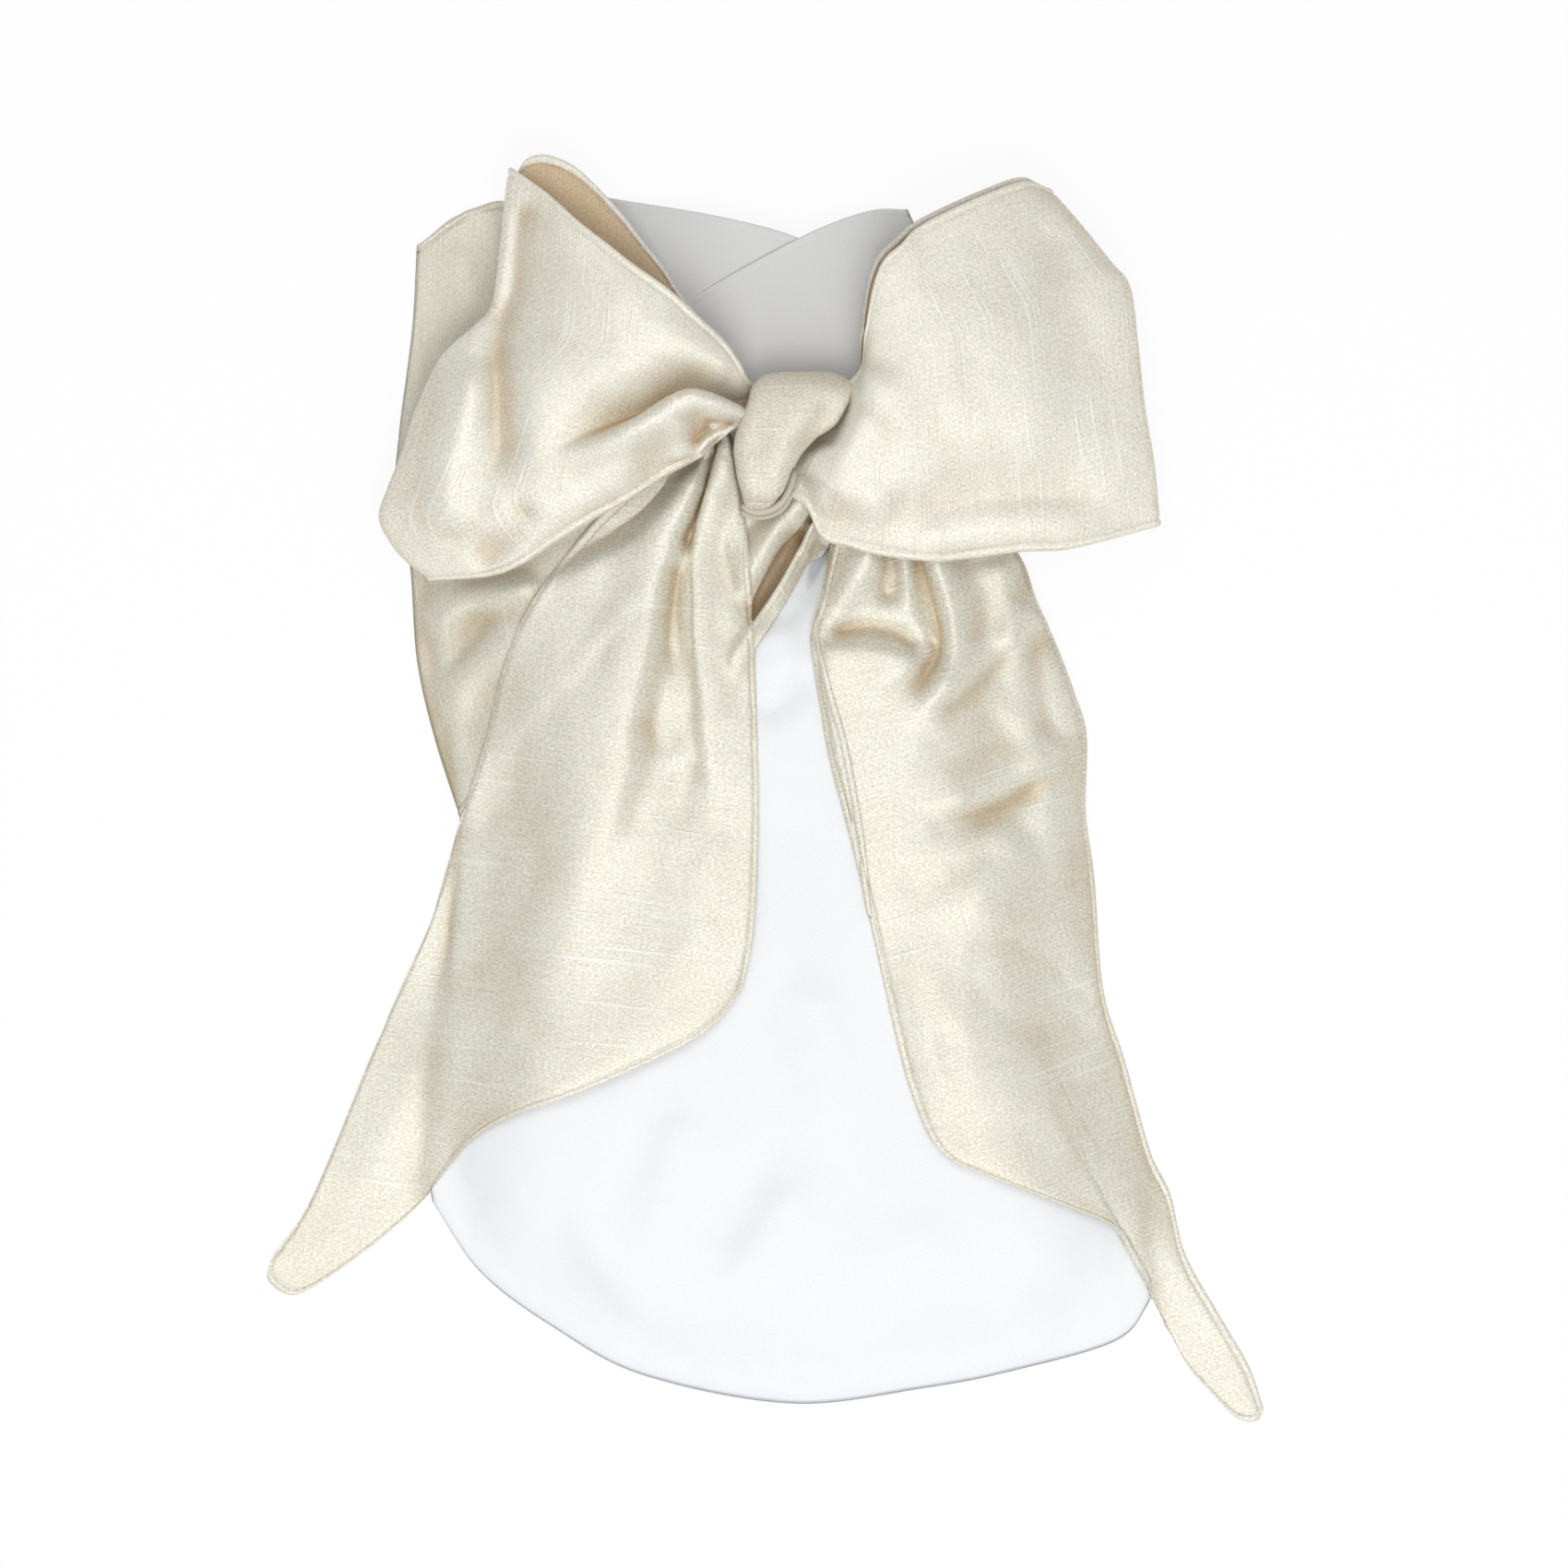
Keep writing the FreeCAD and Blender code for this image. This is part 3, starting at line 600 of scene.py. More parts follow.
def band_fronts():
    us, vs = rows(140, 1.9, False, False), rows(235, 1.9)
    left = fill([(-130, -148), (-95, -104), (-50, -56), (-10, -28)],
                [(-147, 78), (-124, 93), (-104, 92), (-60, 55), (-14, 20)], LEFT_FOLD,
                [(-10, -28), (-11, 0), (-14, 20)], us, vs)
    relief = wander(left, 3.1, 24, 0.8) + folds(left, [
        ([(-98, -57), (-113, -61.5), (-126, -64), (-135, -69), (-142, -78)], (6, 4.5), (3.5, 4), 8,
         (0.1, 0.2)),
        ([(-92, -50), (-112, -52), (-132, -56)], -3, 4, 4, (0.2, 0.3)),
        ([(-104, -72), (-118, -84), (-131, -98), (-128, -114)], (3.5, 3), (8, 7), 8, (0.2, 0.3)),
        ([(-118, -66), (-128, -80), (-140, -92)], (-2.5, -2), 5, 5, (0.2, 0.3)),
        ([(-112, 40), (-126, 60), (-130, 85)], (3.0, 2.0), (10, 12), (8, 10), (0.1, 0.3)),
        ([(-118, 84), (-120, 60), (-122, 30)], -1.6, (5, 6), (5, 6), (0.1, 0.3)),
    ])
    grid = drape(left, relief, 0.7, 14)
    # The band fronts take the dimmer silk copy, painting weaker sheen and shade.
    a = closed_sheet("band_left", grid, 1.0, SILK_DIM)
    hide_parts("band_left_side")
    us = rows(110, 3.0, False, False)
    right = fill([(-4, -28), (40, -60), (70, -95), (98, -125)],
                 [(-8, 15), (22, 19), (34, 28), (62, 58), (96, 80)],
                 [(-4, -28), (-5, 0), (-8, 20)], RIGHT_FOLD, us, vs)
    grid = drape(right, wander(right, 5.2, 24, 0.8), 0.7, 14)
    # The dimmer silk copy paints weaker sheen and shade here too.
    b = closed_sheet("band_right", grid, 1.0, SILK_DIM)
    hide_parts("band_right_side")
    return a, b


# %% Lay the first layers
band_back = band_pieces()
cap_back, cap_front, flap_under, flap_over = cap_pieces()
band_left, band_right = band_fronts()

# %% [markdown]
# ## The first crossing
# Below the knot the first half of the tie shows: a bright rolled strip, a thin flat strip with a
# hem beside it, and a small fold of the band. They run down to the left and under the left tail,
# so they are laid first.

# %% First crossing
def strip(name, near, far, thick, crest=None, high=(0, 0), spread=3.0, clear=1.0, edges=(0, 0), hem=0,
          material=SILK):
    """A narrow piece between two plan lines. edges lifts its two long edges."""
    us, vs = rows(70, 1.2, False, False), rows(18 - 7 * hem, 0.7, hem, False)
    grid = fill(near, far, [near[0], far[0]], [near[-1], far[-1]], us, vs)
    relief = np.broadcast_to(edges[0] * (1 - vs) + edges[1] * vs, grid.shape[:2]).copy()
    if crest:
        relief += fold(grid, crest, high, (spread, spread), (spread, spread), (0.01, 0.5))
    return closed_sheet(name, drape(grid, relief, clear, 8), thick, material, (0, 0, hem, 0), bead=0.3)


def first_crossing():
    wedge = strip("half_knot_edge", [(7, -32), (19, -36)], [(5, -50), (13.5, -45)], 0.9, edges=(1.5, 0))
    # The under strip is in the darker silk copy, painting the shade of the gap beside the wedge.
    under = strip("half_knot_under", [(8, -20), (-3, -30), (-12, -43), (-20, -56), (-27, -68)],
                  [(11.5, -34), (5, -47), (-2, -60), (-12, -74), (-22, -88)], 0.9, clear=0.8,
                  material=SILK_SHADED)
    thin = strip("half_knot_strip", [(10, -31), (4, -42), (-4, -56.5), (-14, -71.5), (-23, -86)],
                 [(13, -36), (6.5, -50), (0, -62), (-9, -76), (-20, -93)], 0.9, clear=0.8,
                 edges=(4.5, 0.8), hem=1)
    roll = strip("half_knot_twist", [(2, -12), (-6, -18), (-13, -24), (-19, -30), (-26, -39)],
                 [(9, -28), (3, -36.5), (-3.5, -43), (-9.5, -54), (-15, -65)], 1.2,
                 [(4, -24), (-3, -33), (-9, -42), (-15, -52), (-20, -60)], (7.5, 5), 5.5, 1.0, (1.0, 4.5))
    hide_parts("half_knot")
    return thin, under, roll, wedge


strips = first_crossing()

# %% [markdown]
# ## The tails
# Each tail leaves the knot gathered, opens out, and ends in a slanted cut with a long point.
# The pleats from the knot are laid in one by one, strongest at the top, and die out halfway down.

# %% Left tail
def tail_lift(us, vs, free, gathered, gathered_share):
    """How far a tail stands above what it lies on: most at the knot, nothing at its two long edges."""
    lift = 1.0 + free * step((0.62 - us) / 0.40) + gathered * step((gathered_share - us) / gathered_share)
    from_edge = np.arange(len(vs))
    return lift[:, None] * step(from_edge[::-1] / 12.0) * step(from_edge / 12.0)


LEFT_TAIL_FOLDS = [
    ([(-31, -4), (-36, -15), (-41.5, -27), (-46, -39), (-48.5, -50), (-52, -63), (-55.5, -76), (-59, -91),
      (-62.5, -106), (-66, -130), (-76, -158), (-92, -190)], (10, 6), (3, 11), (8, 36), (0.02, 0.4)),
    ([(-28.5, -1), (-30.5, -10), (-34, -22), (-37.5, -33), (-41, -42)], (-13, -10), (2.0, 2.2), (1.8, 2.2),
     (0.05, 0.12)),
    ([(-43.5, -43), (-40, -43), (-36, -41.5)], (-2.5, -2), 1.8, 1.8, 0.3),
    ([(-44, -45), (-46, -58), (-46.5, -72), (-45, -86), (-42, -94), (-37, -101)], (-5, -3.4), (4, 7),
     (2.8, 5.0), (0.15, 0.6)),
    ([(24, -176), (-14, -197), (-40, -227), (-84, -251), (-130, -280)], 4, 10, 40, (0.2, 0.3)),
    ([(-40.5, -46), (-40.5, -60), (-40, -75), (-38.5, -88)], (2.2, 1.6), (2.4, 2.6), (2.4, 2.6), (0.2, 0.3)),
    ([(-27, -6), (-30, -18), (-34, -32), (-37, -44), (-36.5, -60), (-36, -80), (-34, -100), (-33, -116),
      (-31, -132), (-30, -155)], (4.5, 3), (9, 14), (2.0, 2.6), (0.03, 0.35)),
    ([(-58, -104), (-54, -113), (-48, -120), (-41, -125)], (-2.4, -2.0), (8, 7), 6, 0.4),
    ([(-36, -126), (-42, -136), (-45, -158)], (-2.4, -2), (5, 8), (5, 8), (0.15, 0.4)),
    ([(-32, -3), (-45, -13), (-60, -24), (-75, -32.5), (-90, -41), (-103, -53)], (-10, -8), (7, 8), 12,
     (0.05, 0.2)),
    ([(-34, -13), (-48, -29), (-60, -41), (-76, -49), (-94, -60)], (4, 2.5), (10, 14), (3.4, 4), (0.1, 0.3)),
    ([(-96, -112), (-108, -150), (-124, -186), (-142, -222)], -3, (16, 18), 12, (0.25, 0.35)),
    ([(-30, -150), (-34, -185), (-40, -218)], (2.0, 1.6), (10, 12), (14, 16), 0.3),
    ([(-60, -200), (-84, -225), (-104, -246)], (-2.2, -2), 18, 18, 0.3),
    ([(-128, -215), (-150, -262), (-176, -304)], (3, 2), (16, 12), (14, 12), (0.25, 0.3)),
]


def left_tail():
    us, vs = rows(300, 1.7, False, True), rows(135, 1.1)
    start = [(-37, 4), (-30, 7), (-24, 4)]
    left = [start[0], (-52, -10), (-66, -22), (-77, -32), (-90, -48), (-98.5, -60), (-105, -71.5),
            (-110, -84), (-113.5, -96), (-116.5, -110), (-121.5, -127), (-129, -149), (-141, -188),
            (-159, -229), (-178, -276), (-190, -302), (-204, -322)]
    right = [start[-1], (-22, -5), (-20.3, -14), (-18, -25.5), (-16, -37.5), (-14.8, -52), (-14, -70),
             (-12.5, -105), (-11.7, -146), (-13.5, -190), (-18, -215)]
    end = [left[-1], (-206, -331), (-198, -337), (-190, -335), (-176, -326), (-159, -313), (-145, -300),
           (-128, -278), (-110, -266), (-82, -256), (-52, -243), (-31, -231), (-18, -215)]
    plan = fill(left, right, start, end, us, vs)
    relief = wander(plan, 1.3, 34, 1.2) + folds(plan, LEFT_TAIL_FOLDS)
    grid = drape(plan, relief + tail_lift(us, vs, 1.8, 5.0, 0.20), 0.8, 24)
    tuck(grid, [(-26.5, -1), (-28.7, -10), (-32.2, -22), (-35.7, -33), (-38.5, -43)], 1.6, 3.0, (0.05, 0.3))
    tuck(grid, [(-37.6, -44), (-37.4, -60), (-37, -80), (-35, -100), (-33.5, -118)], 1.0, 2.6, (0.15, 0.5))
    tail = closed_sheet("left_tail_cloth", grid, 1.1, SILK, (0, 1, 1, 1), weft=-7)
    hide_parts("left_tail", "left_tail_root")
    return tail


# %% Right tail
RIGHT_TAIL_LEFT = [(22, -24), (17, -40), (13, -60), (9, -76), (10, -88), (12.5, -105), (16, -125),
                   (21.5, -146), (25.5, -161), (32, -190), (41, -230), (47, -253), (55, -273), (64.6, -283)]
RIGHT_TAIL_RIGHT = [(72, -22), (91, -45), (98, -63), (107, -83), (113, -99), (118, -116), (117.5, -146),
                    (121, -172), (124.5, -216), (133, -244), (143, -280), (151, -297), (157, -321),
                    (171, -346), (182, -365), (188, -382)]
RIGHT_TAIL_END = [RIGHT_TAIL_LEFT[-1], (82, -290), (97, -296), (113, -302.6), (127, -308.5), (134, -315),
                  (143, -331), (147, -343), (152, -354), (158.5, -366), (166.5, -375), (177, -385.5),
                  (185, -387), (188, -382)]


RIGHT_TAIL_FOLDS = [
    ([(33, -42), (24, -58), (14, -72)], (5, 3), 6, 5, (0.05, 0.2)),
    ([(39, -40), (40.5, -56), (36, -68)], (-9, -4), (4, 5), (4, 5), (0.02, 0.5)),
    ([(45, -42), (46, -58), (47, -70)], (4, 2), 3, 3, (0.02, 0.4)),
    ([(50, -42), (55, -66), (59, -83), (54, -92), (49, -106)], -6, (3.4, 4.5), (3.4, 4.5), (0.02, 0.3)),
    ([(56, -44), (63.5, -66), (63.5, -84), (56, -101), (46, -114)], (8, 5), (9, 12), 4, (0.02, 0.3)),
    ([(12, -83), (26, -82.5), (38, -84), (47, -87), (52, -94)], 4, (2.4, 3), (14, 16), (0.1, 0.2)),
    ([(16, -75), (32, -74), (43, -76), (52, -83)], (-4, -6), 4, 3, 0.15),
    ([(95, -66), (84, -82), (70, -95), (54, -106)], (6, 4), (8, 7), (7, 6), (0.05, 0.3)),
    ([(90, -80), (76, -93), (66, -102), (55, -110)], (-5, -4), 5, 4, (0.2, 0.25)),
    ([(109, -118), (84, -134), (54, -147)], (5.5, 4.0), 8, (8, 7), (0.2, 0.3)),
    ([(106, -131), (80, -145), (53, -154)], (-4.5, -4), 6, 5, (0.25, 0.3)),
    ([(96, -154), (81, -170), (66, -190)], (4.0, 3.0), (12, 14), (10, 12), (0.3, 0.4)),
    ([(88, -160), (60, -172), (40, -176)], (-2.5, -2), 7, 7, 0.3),
    ([(70, -198), (94, -215), (124, -236)], (-3.6, -3), (10, 11), 12, (0.3, 0.35)),
    ([(60, -222), (62, -240), (66, -258)], (-1.8, -1.6), 5, 5, 0.4),
    ([(46, -190), (56, -228), (64, -266)], (2.4, 2.0), 14, 10, 0.3),
    ([(84, -45), (96, -76), (104, -105), (106, -140), (109, -180), (113, -215)], (5, 3), (8, 9), (16, 18),
     (0.05, 0.5)),
    ([(88, -240), (112, -274), (138, -306), (160, -345)], (3, 2), (16, 8), (16, 8), 0.3),
    ([(30, -258), (60, -276), (96, -290), (140, -312)], (3, 2.5), (34, 30), 8, 0.3),
]


def right_tail():
    us, vs = rows(345, 1.7, False, True), rows(125, 1.6)
    start = [RIGHT_TAIL_LEFT[0], (46, -16), RIGHT_TAIL_RIGHT[0]]
    plan = fill(RIGHT_TAIL_LEFT, RIGHT_TAIL_RIGHT, start, RIGHT_TAIL_END, us, vs)
    relief = wander(plan, 8.4, 30, 1.3) + folds(plan, RIGHT_TAIL_FOLDS)
    grid = drape(plan, relief + tail_lift(us, vs, 2.6, 3.6, 0.14), 0.8, 24)
    tail = closed_sheet("right_tail_cloth", grid, 1.1, SILK, (0, 1, 1, 1), weft=17)
    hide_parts("right_tail", "right_tail_root")
    us, vs = rows(170, 1.7, False, False), rows(6, 0.8)
    inner = [(27, -24), (20, -42), (15.5, -60), (11.5, -76.5), (16, -95), (22, -115), (26, -134),
             (29.5, -155), (32.6, -188)]
    outer = RIGHT_TAIL_LEFT[:9] + [(31.5, -187)]
    turned = fill(outer, inner, [outer[0], inner[0]], [outer[-1], inner[-1]], us, vs)
    turned = drape(turned, 0 * turned[..., 0] + 0.3, 0.7, 2)
    edge = closed_sheet("right_tail_edge", turned, 0.9, SILK, (0, 0, 0, 1), weft=17)
    return tail, edge


tail_left = left_tail()
tail_right, tail_right_edge = right_tail()
below_bow = list(laid)

# %% [markdown]
# ## The knot
# The wrap is a ring of gathered cloth over the bow's middle, wide at the top and narrow at the
# bottom. Its two rims turn in, so that the loops and tails come out from under a soft round form.

# %% Knot
KNOT_LEFT_RIM = [(29, -12), (23, -15), (18, -16), (10, -18.5), (5, -20), (-2, -21.4), (-8, -21.4), (-18, -20),
                 (-27, -17.5), (-30, -17)]
KNOT_RIGHT_RIM = [(29, 27), (22, 25.2), (16, 22.8), (8, 19), (3, 14), (0, 10), (-5, 6.6), (-10, 3.8),
                  (-15, 1.0), (-19, -0.2), (-23, -1.8), (-26, -4.5), (-28.5, -8.5)]


def calm_line(values, times):
    """Evens out a row of values."""
    for _ in range(times):
        p = np.pad(values, 1, mode="edge")
        values = 0.5 * values + 0.25 * (p[:-2] + p[2:])
    return values


def knot():
    lo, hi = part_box("knot_wrap")
    foot, top = lo.z / MM, hi.z / MM
    middle = (foot + top) / 2
    around = np.linspace(0, 2 * math.pi, 241)
    across = rows(36, 0.8, False, False)
    cosine, sine = np.cos(around), np.sin(around)
    ys = -0.8 + 26.3 * np.sign(cosine) * np.abs(cosine) ** 0.68
    zs = middle + ((top - foot) / 2 + 1.0) * np.sign(sine) * np.abs(sine) ** 0.68
    lx = calm_line(np.interp(ys, *zip(*KNOT_LEFT_RIM[::-1])), 3)
    rx = calm_line(np.interp(ys, *zip(*KNOT_RIGHT_RIM[::-1])), 3)
    from_middle = np.abs(2 * across - 1) ** (5.0 - 1.8 * across)
    turned_in = (8.0 - 2.0 * across) * (1 - np.sqrt(np.maximum(0, 1 - from_middle)))
    grid = np.zeros((len(around), len(across), 3))
    grid[..., 0] = lx[:, None] + (rx - lx)[:, None] * across[None]
    inward = np.stack([-0.8 - ys, middle - zs], axis=1)
    inward /= np.linalg.norm(inward, axis=1, keepdims=True)
    grid[..., 1] = ys[:, None] + inward[:, :1] * turned_in[None]
    grid[..., 2] = zs[:, None] + inward[:, 1:] * turned_in[None]
    relief = folds(grid, [
        ([(12, 24), (6, 10), (-2, -4), (-8, -18)], (1.4, 1.2), (7, 5), (8, 7), 0.15),
        ([(19, 18), (13, 8), (7, 0), (2, -9)], -1.6, (5, 4), (6, 4), 0.3),
        ([(-8, 24), (-12, 8), (-14, -10)], (-0.8, -0.7), (6, 5), (6, 5), (0.15, 0.2)),
    ])
    upper_side = np.clip(sine, 0, 1) ** 0.5
    grid[..., 2] += relief * upper_side[:, None]
    ridges = 0.9 * np.exp(-((around - 2.86) / 0.05) ** 2) + 0.8 * np.exp(-((around - 2.66) / 0.05) ** 2)
    grid[..., 1:] += (ridges[:, None] * inward)[:, None]
    # The knot takes the dimmer silk copy, painting weaker sheen and shade.
    piece = closed_sheet("knot_cloth", grid, 1.6, SILK_DIM, (0, 0, 0, 0))
    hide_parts("knot_wrap")
    return piece


wrap = knot()

# %% [markdown]
# ## The plies at the knot's foot
# The wrap's last turn shows two thin rolled edges under the knot. Each is a tube along a short
# curve, and its ends are drawn in.

# %% Plies
def ply(name, path, radius):
    """A thin rolled edge: a tube along a path, closed at both ends."""
    line = smooth_line(path, np.linspace(0, 1, 40))
    tangent = np.gradient(line, axis=0)
    tangent /= np.linalg.norm(tangent, axis=1, keepdims=True)
    across = np.cross(tangent, [0, 0, 1.0])
    across /= np.linalg.norm(across, axis=1, keepdims=True)
    up = np.cross(across, tangent)
    points, faces, sides = [], [], 14
    for k, (p, a, b) in enumerate(zip(line, across, up)):
        r = radius * math.sqrt(min(1.0, (k + 0.3) / 3, (len(line) - 0.7 - k) / 3))
        points += [p + r * (a * math.cos(t) + b * math.sin(t))
                   for t in np.linspace(0, 2 * math.pi, sides + 1)[:-1]]
    for k in range(len(line) - 1):
        ring, after = k * sides, (k + 1) * sides
        faces += [[after + i, after + (i + 1) % sides, ring + (i + 1) % sides, ring + i]
                  for i in range(sides)]
    faces += [list(range(sides)), [(len(line) - 1) * sides + i for i in range(sides)][::-1]]
    mesh = bpy.data.meshes.new(name)
    mesh.from_pydata((np.array(points) * MM).tolist(), [], faces)
    mesh.update()
    mesh.uv_layers.new(name="weave")
    # The plies take the dimmer silk copy, painting weaker sheen and shade.
    mesh.materials.append(SILK_DIM)
    mesh.shade_smooth()
    return into_scene(name, mesh)


plies = (ply("knot_ply_upper", [(-18.5, -26, 35), (-13, -28.6, 36), (-7.5, -28.0, 37), (-3, -25.0, 37.5),
                                (0.2, -19.5, 37), (2.5, -12, 36)], 1.35),
         ply("knot_ply_lower", [(-18.5, -28.5, 31), (-12.5, -30.4, 32), (-6.5, -29.6, 33), (-1.8, -26.4, 34),
                                (1.2, -21, 33)], 1.25))

# %% [markdown]
# ## The loops
# One continuous sheet each: out along the front leaf, round the fold and back along the leaf below.
# At the knot both leaves dip under the rim of the wrap.

# %% Loops
PUFF = 12     # how far a loop's front leaf rises in its middle


def loop(name, low, top, turn, root, top_back, low_drop, turn_drop, relief_rows, bulge, tucks=()):
    """low, top, turn and root are the edges of the front leaf. The back leaf has its own top edge
    between root and turn. Its other edges are the front's, lowered: the turn by a start and a slope."""
    turn_back = [(x, y, z - turn_drop[0] - turn_drop[1] * (y + 55)) for x, y, z in turn]
    root_back = [(x, y, z - 4) for x, y, z in root]
    low_back = [root_back[0]] + [(x, y, z - low_drop) for x, y, z in low[1:-1]] + [turn_back[0]]
    top_back = [root_back[-1]] + top_back + [turn_back[-1]]
    vs = rows(150, 1.5)
    us = rows(130, 1.5, False, False)
    front = fill(low, top, root, turn, us, vs)
    back = fill(low_back, top_back, root_back, turn_back, us, vs)
    u, v = us[:, None], vs[None]
    front[..., 2] += (PUFF * np.sin(np.pi * u) ** 0.9 * (0.35 + 0.65 * np.sin(np.pi * v))
                      + folds(front, relief_rows))
    front[..., 2] += wander(front, 4.4, 34, 1.0)
    for row in tucks:
        tuck(front, *row)
    back[..., 2] -= 3.0 * np.sin(np.pi * u) * np.sin(np.pi * v)
    edge_f, edge_b = front[-1], back[-1]
    out = front[-1, :, :2] - front[-2, :, :2]
    out /= np.linalg.norm(out, axis=1, keepdims=True)
    turn_rows = []
    for a in (0.2, 0.4, 0.6, 0.8):
        angle = a * math.pi
        r = bulge[0] + (bulge[1] - bulge[0]) * vs[:, None]
        m = edge_f * (0.5 + 0.5 * math.cos(angle)) + edge_b * (0.5 - 0.5 * math.cos(angle))
        m[:, :2] += out * r * math.sin(angle)
        turn_rows.append(m)
    grid = np.concatenate([front, np.array(turn_rows), back[::-1]])
    floor = ground(back[::-1], below_bow)
    part = grid[len(us) + 4:]
    part[..., 2] = np.maximum(part[..., 2], calm(floor, 4) + 0.8)
    grid[..., 2] = np.concatenate([grid[:len(us) + 4, :, 2], part[..., 2]])
    # Outer faces take the lighter silk copy (painted light), inner faces the darker one (painted shade).
    return closed_sheet(name, grid, 1.1, SILK_LIT, inside=SILK_SHADED)


# %% Left loop
LEFT_LOOP_FOLDS = [
    ([(-17, 12), (-23, 15), (-30, 17.5), (-38, 19.5), (-47, 17), (-56, 11.5), (-70, 5.5), (-84, 0),
      (-100, -6)], (-13, -9), (2.2, 5), (7, 15), (0.02, 0.45)),
    ([(-18, 9), (-25, 12), (-33, 15), (-40, 15), (-50, 10), (-60, 4.5), (-74, -2), (-90, -8)], (10.5, 7),
     (6, 14), (1.8, 4), (0.02, 0.5)),
    ([(-20, 6.5), (-27, 7), (-34, 7)], (-5, -4), (2.2, 2.4), 1.2, (0.05, 0.3)),
    ([(-30, 5), (-35, 2), (-37, -3)], (-4, -3.5), 2.5, 2.5, (0.2, 0.3)),
    ([(-20, 3.5), (-26, 2), (-31, -0.5), (-35, -5), (-37.5, -9)], (5, 4), 1.6, 1.8, (0.05, 0.2)),
    ([(-39.5, 7), (-41.5, 1), (-39.5, -8)], (3, 2.6), (1.2, 1.4), 7, 0.2),
    ([(-104, 96), (-107, 60), (-112, 46), (-114, 29), (-113, 12), (-113, -6), (-121, -20)], (-5, -6), 9,
     (6, 7), (0.1, 0.2)),
    ([(-120, 32), (-129, 6), (-134, -16), (-132, -38)], (5, 4), (7, 9), 9, 0.2),
    ([(-54, -10), (-78, -22), (-104, -33), (-124, -34)], (3.5, 3), (7, 9), (9, 12), (0.2, 0.3)),
    ([(-24, 23), (-40, 36), (-62, 50), (-90, 66)], (2.5, 2), (6, 16), (7, 16), (0.1, 0.4)),
    ([(-100, -24), (-112, -40), (-126, -50)], (-3, -2.5), 6, 6, (0.2, 0.3)),
]


def left_loop():
    low = [(-12, 3, 29), (-21, 3.5, 33), (-29, -2, 34), (-35, -7.5, 33.5), (-48, -14.5, 32), (-63, -24, 30),
           (-76, -31, 28), (-91, -40, 26), (-105, -49, 24), (-118, -53.5, 22), (-139, -55, 20)]
    turn = [(-139, -55, 20), (-150, -46, 20), (-156.6, -37, 21), (-159, -29, 22), (-155, -18, 24),
            (-150, -6, 26), (-144, 11, 28), (-134, 31, 31), (-121, 43, 33), (-115, 49.5, 33), (-112, 59, 34),
            (-108, 93, 36), (-106, 104.5, 36)]
    top = [(-10, 19, 31), (-15.5, 23, 37), (-20, 31.5, 41), (-26, 39, 43), (-35.5, 47.5, 45),
           (-46.5, 57.5, 46.5), (-60.5, 67.5, 47), (-70, 75, 46), (-82, 84.5, 44), (-94, 95.5, 40),
           (-106, 104.5, 36)]
    top_back = [(-18, 26, 30), (-30, 42, 26), (-42, 57, 24), (-49, 68, 23), (-56.5, 77.5, 23), (-63, 86, 23),
                (-69, 93, 23), (-75.5, 100, 23), (-83, 106.8, 24), (-90, 110.6, 25), (-97, 112, 26),
                (-103, 110, 27)]
    root = [(-12, 3, 29), (-10, 11, 30), (-10, 19, 31)]
    piece = loop("left_loop_cloth", low, top, turn, root, top_back, 4, (2, 0.05), LEFT_LOOP_FOLDS, (1.2, 3.5),
                 [([(-17, 10.5), (-24, 13.5), (-31, 16.2), (-39, 17.3), (-48, 14), (-58, 8.3), (-72, 2.5)],
                   2.4, 3.2, (0.03, 0.6))])
    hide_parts("left_loop_front", "left_loop_back")
    return piece


# %% Right loop
RIGHT_LOOP_FOLDS = [
    ([(4, -14), (8, -8.5), (13, -5.5), (19, -3.5), (23, 3), (26, 10), (28.5, 18), (31, 30)], (5.5, 4.5),
     (2.6, 3), (12, 14), (0.1, 0.2)),
    ([(8, -22), (16, -20), (28, -22), (42, -30)], 3, (6, 8), (7, 9), (0.15, 0.3)),
    ([(40, -37), (54, -29.5), (70, -24), (96, -22), (128, -22)], (-3.4, -3.0), (15, 16), (5, 6), (0.25, 0.3)),
    ([(40, -43), (70, -37), (100, -34), (130, -31)], (1.8, 1.6), (6, 7), (7, 8), 0.3),
    ([(32, 6), (46, 22), (64, 38), (92, 56)], (3.0, 2.5), (14, 20), (14, 20), (0.15, 0.4)),
    ([(104, 88), (108, 60), (116, 30), (122, 6)], (-3, -2.5), (14, 16), (14, 16), (0.2, 0.4)),
    ([(60, 0), (86, 6), (114, 2)], (2.0, 1.6), 16, 16, (0.3, 0.4)),
]


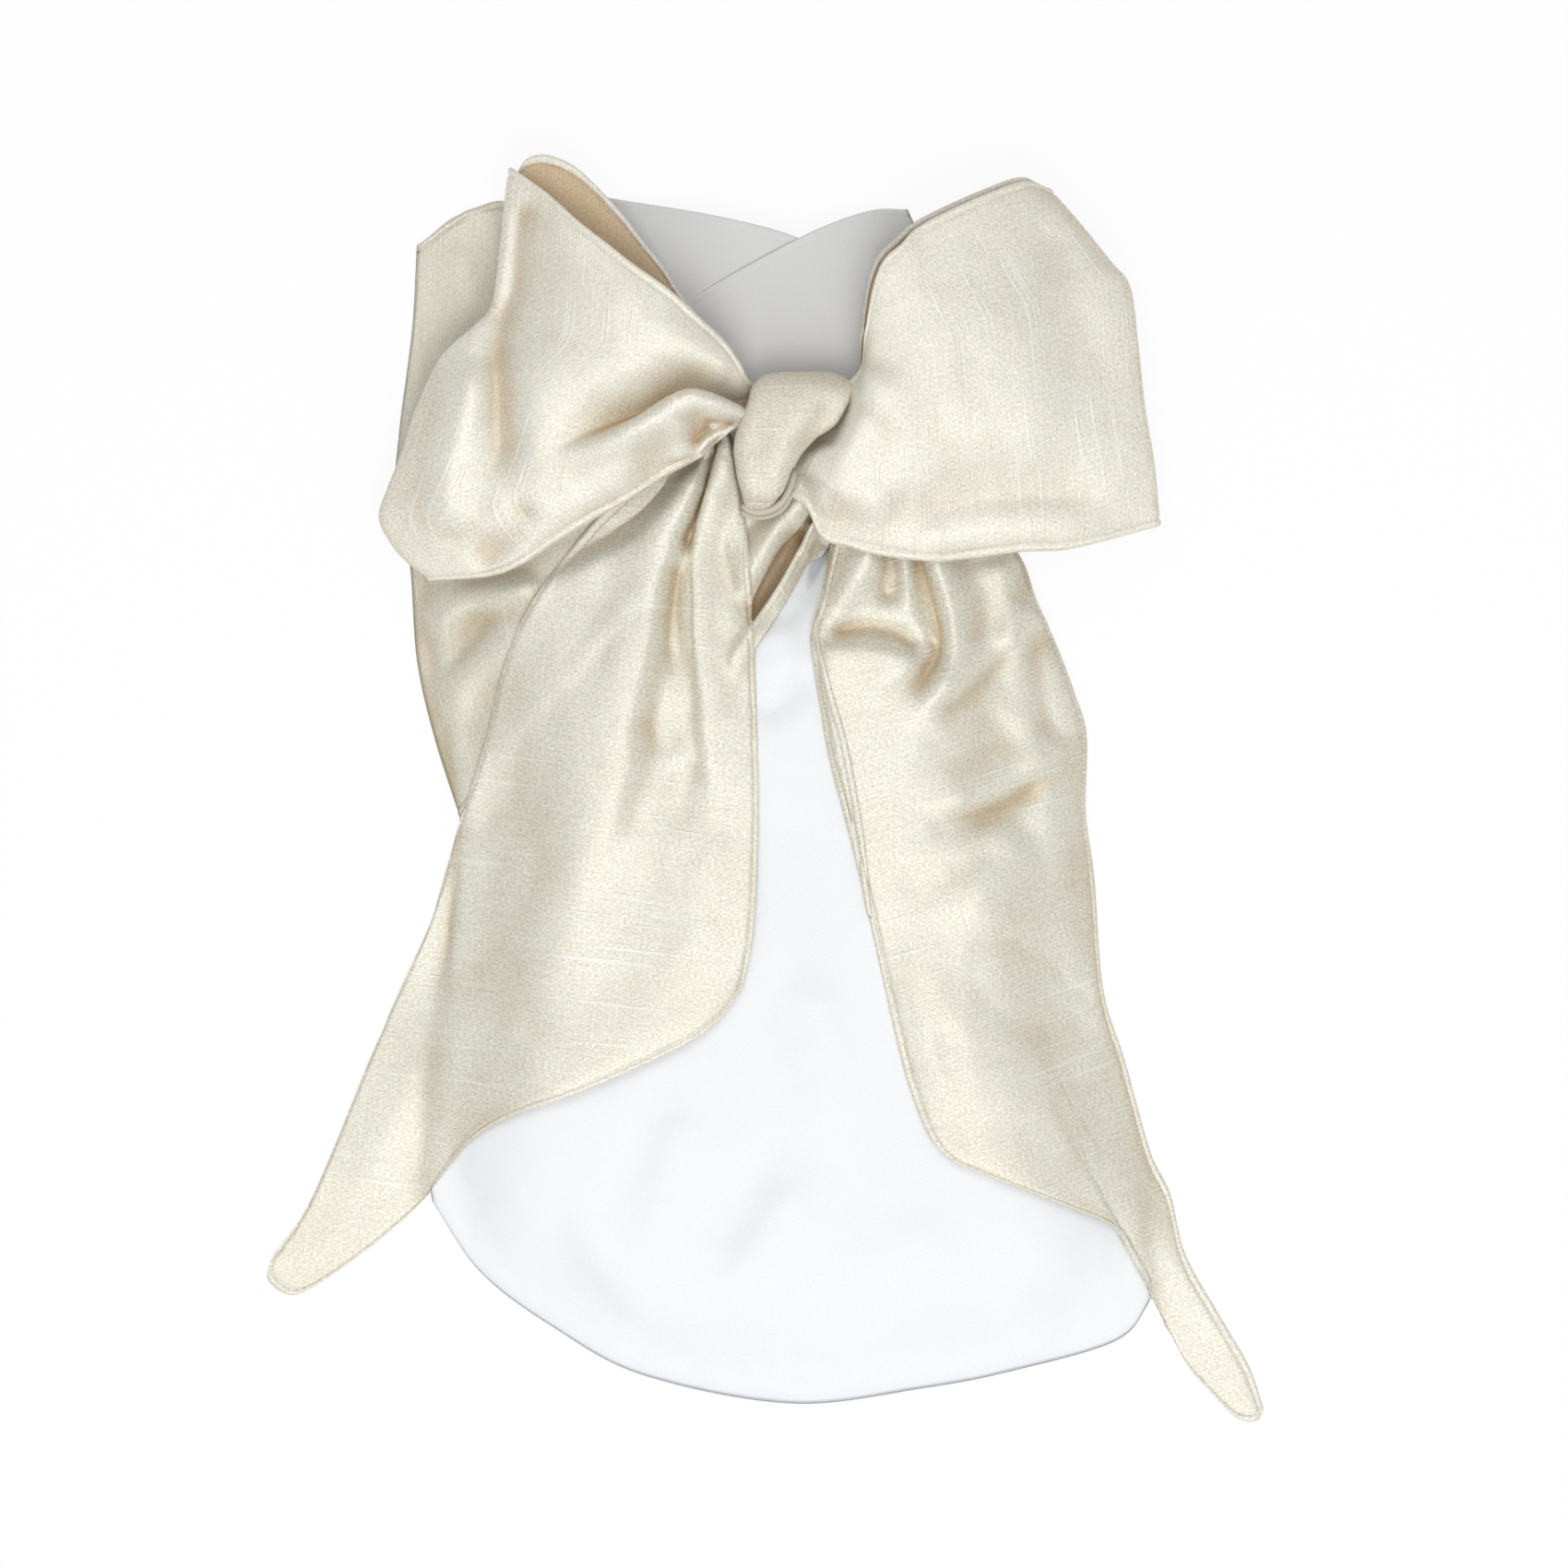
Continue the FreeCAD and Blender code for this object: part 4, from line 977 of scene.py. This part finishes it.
def right_loop():
    low = [(-8, -18, 27), (0, -22, 31), (6.5, -26.5, 33), (9, -31, 33), (11, -36, 32), (15, -40, 31),
           (23, -42, 30), (33, -45, 29), (51.5, -47.5, 28), (64, -47.5, 27), (90, -44, 26), (109, -43, 25),
           (128, -38.5, 24), (144.5, -34, 22)]
    turn = [(144.5, -34, 22), (142, -10, 25), (138, 13, 28), (135, 38, 30), (132, 59.5, 31),
            (124.5, 69.5, 31), (113, 84, 31), (100, 99, 30)]
    top = [(19, 21, 29), (26, 24, 38), (29.5, 30, 42), (30.5, 44, 45), (33, 59, 46), (37, 69, 46),
           (44, 75.5, 45), (49, 81, 43), (59, 87, 41), (77, 95.5, 37), (92, 101, 33), (100, 99, 30)]
    top_back = [(28, 28, 29), (29, 46, 30), (31, 61, 29), (35, 72, 28), (42, 79, 28), (48, 84.5, 28),
                (58, 90, 28), (76, 98, 28), (91, 103, 27.5)]
    root = [low[0], (-3, -12, 27), (2, -5, 27), (8, 1, 27), (12.5, 8, 27), (16, 15, 28), top[0]]
    piece = loop("right_loop_cloth", low, top, turn, root, top_back, 4.5, (3.0, 0), RIGHT_LOOP_FOLDS,
                 (1.2, 1.8))
    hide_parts("right_loop_front", "right_loop_back")
    return piece


loop_left, loop_right = left_loop(), right_loop()


# %% Gathered middle inside the knot
bpy.ops.mesh.primitive_uv_sphere_add(segments=40, ring_count=20, radius=1.0)
middle = bpy.context.object
middle.name = middle.data.name = "bow_middle"
for v in middle.data.vertices:
    pleat = 1 + 0.05 * math.cos(8 * math.atan2(v.co.z, v.co.y))
    v.co = Vector((-0.001 + 0.011 * v.co.x, -0.001 + 0.0155 * v.co.y * pleat,
                   0.0285 + 0.0060 * v.co.z * pleat))
# The bow's middle takes the dimmer silk copy, painting weaker sheen and shade.
middle.data.materials.append(SILK_DIM)
middle.data.shade_smooth()
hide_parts("bow_core")

# %% [markdown]
# ## What moves with what
# The band, the cover and the knot stay with the wrap. The loops and the tails have their placement baked into
# their meshes.

# %% Bodies and baked placements
for piece in (band_back, band_left, band_right, wrap, middle) + tuple(strips) + plies:
    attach(piece, "wrap")
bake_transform(loop_left)
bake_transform(loop_right)
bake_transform(tail_left)
for piece in (tail_right, tail_right_edge):
    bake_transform(piece)

# %% [markdown]
# ## The cloths as they were cut
# The sash is about 14.5 cm wide at its ends and about 24 cm where it is laid out as a band.

# %% Stage, light and camera
floor_mat, floor_bsdf, add, join = node_kit("floor")
floor_bsdf.inputs["Base Color"].default_value = (0.9, 0.9, 0.9, 1)
floor_bsdf.inputs["Roughness"].default_value = 0.9
glow = add("ShaderNodeEmission", Strength=1.0)
path = add("ShaderNodeLightPath")
mix = add("ShaderNodeMixShader")
out = floor_mat.node_tree.nodes["Material Output"]
join(times(add, join, path, "Is Camera Ray", 0.90), 0, mix, 0)
floor_mat.node_tree.links.new(floor_bsdf.outputs[0], mix.inputs[1])
floor_mat.node_tree.links.new(glow.outputs[0], mix.inputs[2])
floor_mat.node_tree.links.new(mix.outputs[0], out.inputs["Surface"])
bpy.ops.mesh.primitive_plane_add(size=8, location=(0, 0, -0.0002))
floor = bpy.context.object
floor.name = "floor"
floor.data.materials.append(floor_mat)

world = bpy.data.worlds.new("studio")
bpy.context.scene.world = world
world.use_nodes = True
sky = world.node_tree.nodes["Background"]
sky.inputs["Color"].default_value = (1, 1, 1, 1)
sky.inputs["Strength"].default_value = 0.46


def lamp(name, place, aim, size, power):
    light = bpy.data.lights.new(name, "AREA")
    light.size = size
    light.energy = power
    obj = into_scene(name, light)
    obj.location = place
    obj.rotation_euler = (aim - obj.location).to_track_quat("-Z", "Y").to_euler()


centre = Vector((0, -0.13, 0))
lamp("key", (0.10, -0.80, 2.15), centre, 1.1, 21)
lamp("back", (-0.15, 0.75, 2.00), centre, 1.1, 9)
lamp("low", (0.15, -1.50, 1.30), centre, 0.9, 5.5)

CAMERA_HEIGHT, SEEN_WIDTH = 3.0, 0.6205     # in m, straight above the table
camera = into_scene("camera", bpy.data.cameras.new("camera"))
camera.location = (-0.0018, -0.135, CAMERA_HEIGHT)
camera.rotation_euler = (0, 0, 0)
camera.data.sensor_width = 36
camera.data.lens = 36 * CAMERA_HEIGHT / SEEN_WIDTH
camera.data.clip_start, camera.data.clip_end = 0.1, 20
bpy.context.scene.camera = camera
bpy.context.scene.view_settings.view_transform = "Standard"
